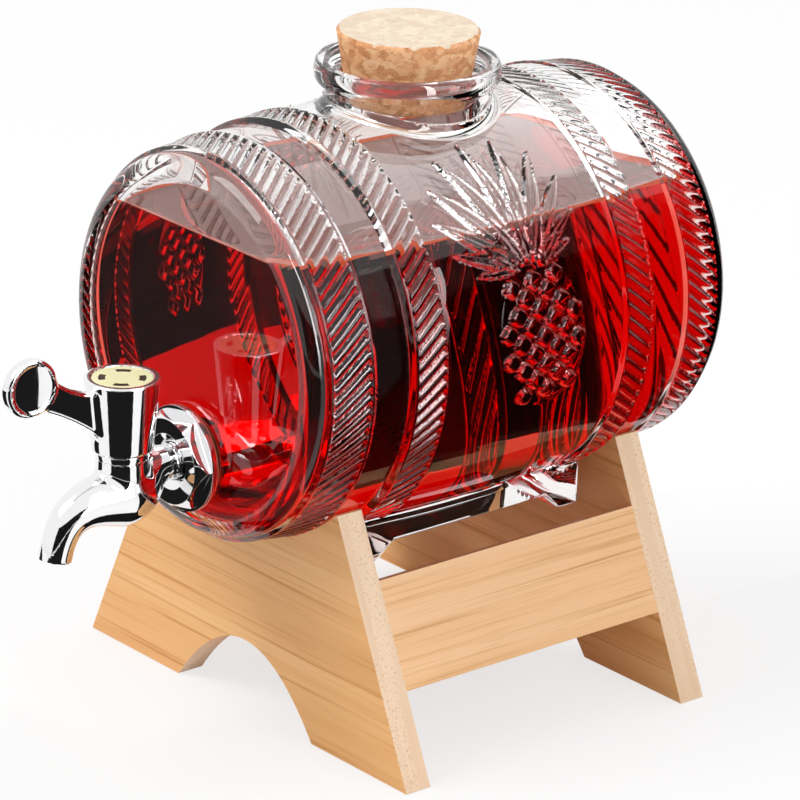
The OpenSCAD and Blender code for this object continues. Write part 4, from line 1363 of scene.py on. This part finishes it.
def studio():
    """White room with lamps and cards."""
    floor()
    world()
    for lamp in LAMPS:
        area_light(*lamp)
    for card in ARC_CARDS:
        arc_card(*card)
    for name, corners in FAR_CARDS:
        flag(name, corners, FAR_TONE, True)
    for card in BRIGHT_CARDS:
        catch_light(*card)


# Dressing

def dress(nodes, material, bevel=0.0):
    """Gives CAD nodes their material and softly worn edges."""
    for node in nodes:
        obj = frame["nodes"][node]
        obj.data.materials.clear()
        obj.data.materials.append(material)
        if bevel:
            obj.modifiers.new("weld", "WELD").merge_threshold = 0.01 * MM
            soften(obj, bevel, 3, 32)


def stand_in(piece, node, body, material):
    """A new piece that takes the place of a CAD node."""
    piece.data.materials.clear()
    piece.data.materials.append(material)
    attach(piece, body)
    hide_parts(node)


def dress_barrel():
    """Glass, drink and cork."""
    barrel = glass_barrel()
    stand_in(barrel, "glass_barrel", "barrel", glass_material("clear_glass", 1.0))
    paint(barrel, wet_glass(barrel), [glass_material("clear_glass_wet", WET_GLINT)])
    red = drink()
    # The drink's surface takes a share of diffuse orange and a red tint in its mirror reflection: painted
    # light, standing in for light that comes up through the drink
    surface = drink_material("red_drink", (1.0, 0.43, 0.34), (1.0, 0.3, 0.25), 0.8)
    wall = drink_material("red_drink_wall", (1.0, 0.9, 0.88), grey(WET_GLINT), 1.0)
    # The raised edge is mostly diffuse orange-red: a painted bright line where light catches the drink's
    # meniscus
    edge = drink_material("red_drink_edge_painted_line", (1.0, 0.16, 0.05), (1.0, 0.3, 0.2), 0.35)
    stand_in(red, "drink", "barrel", surface)
    paint(red, drink_faces(red), [wall, edge])
    stand_in(cork(), "cork_stopper", "cork", cork_material())


def dress_tap():
    """Chrome castings and nuts, seals, and the parts of the valve."""
    chrome = chrome_material()
    stand_in(tap_body(), "tap_body", "barrel", chrome)
    stand_in(tap_handle(), "tap_handle", "handle", chrome)
    dress(("hex_flange_nut", "lock_nut", "tap_collar"), chrome, 0.25)
    dress(("outer_seal", "inner_seal"), plain_material("seal_silicone", (0.75, 0.2, 0.12), 0.4), 0.2)
    dress(("friction_washer", "valve_plug"), plain_material("white_polymer", (0.82, 0.82, 0.8), 0.45))
    dress(("plug_rings",), plain_material("ring_rubber", grey(0.05), 0.6, spread=0.02))
    dress(("handle_screw",), plain_material("screw_steel", grey(0.55), 0.35, spread=0.04, metallic=1.0))
    dress(("index_disc",), index_material(), 0.2)


def dress_stand():
    """Boards with their grain across the barrel, rails and dowels along it."""
    dress(("front_board", "rear_board"), bamboo_material("bamboo_crosswise", 0, TAN_BAMBOO, NODE_SCAR), 0.5)
    dress(("left_rail", "right_rail"), bamboo_material("bamboo_lengthwise", 1, PALE_BAMBOO), 0.5)
    dress(("front_dowels", "rear_dowels"), bamboo_material("dowel_wood", 1, PALE_BAMBOO))


camera()
studio()
dress_barrel()
dress_tap()
dress_stand()
bpy.context.scene.view_settings.view_transform = "Standard"
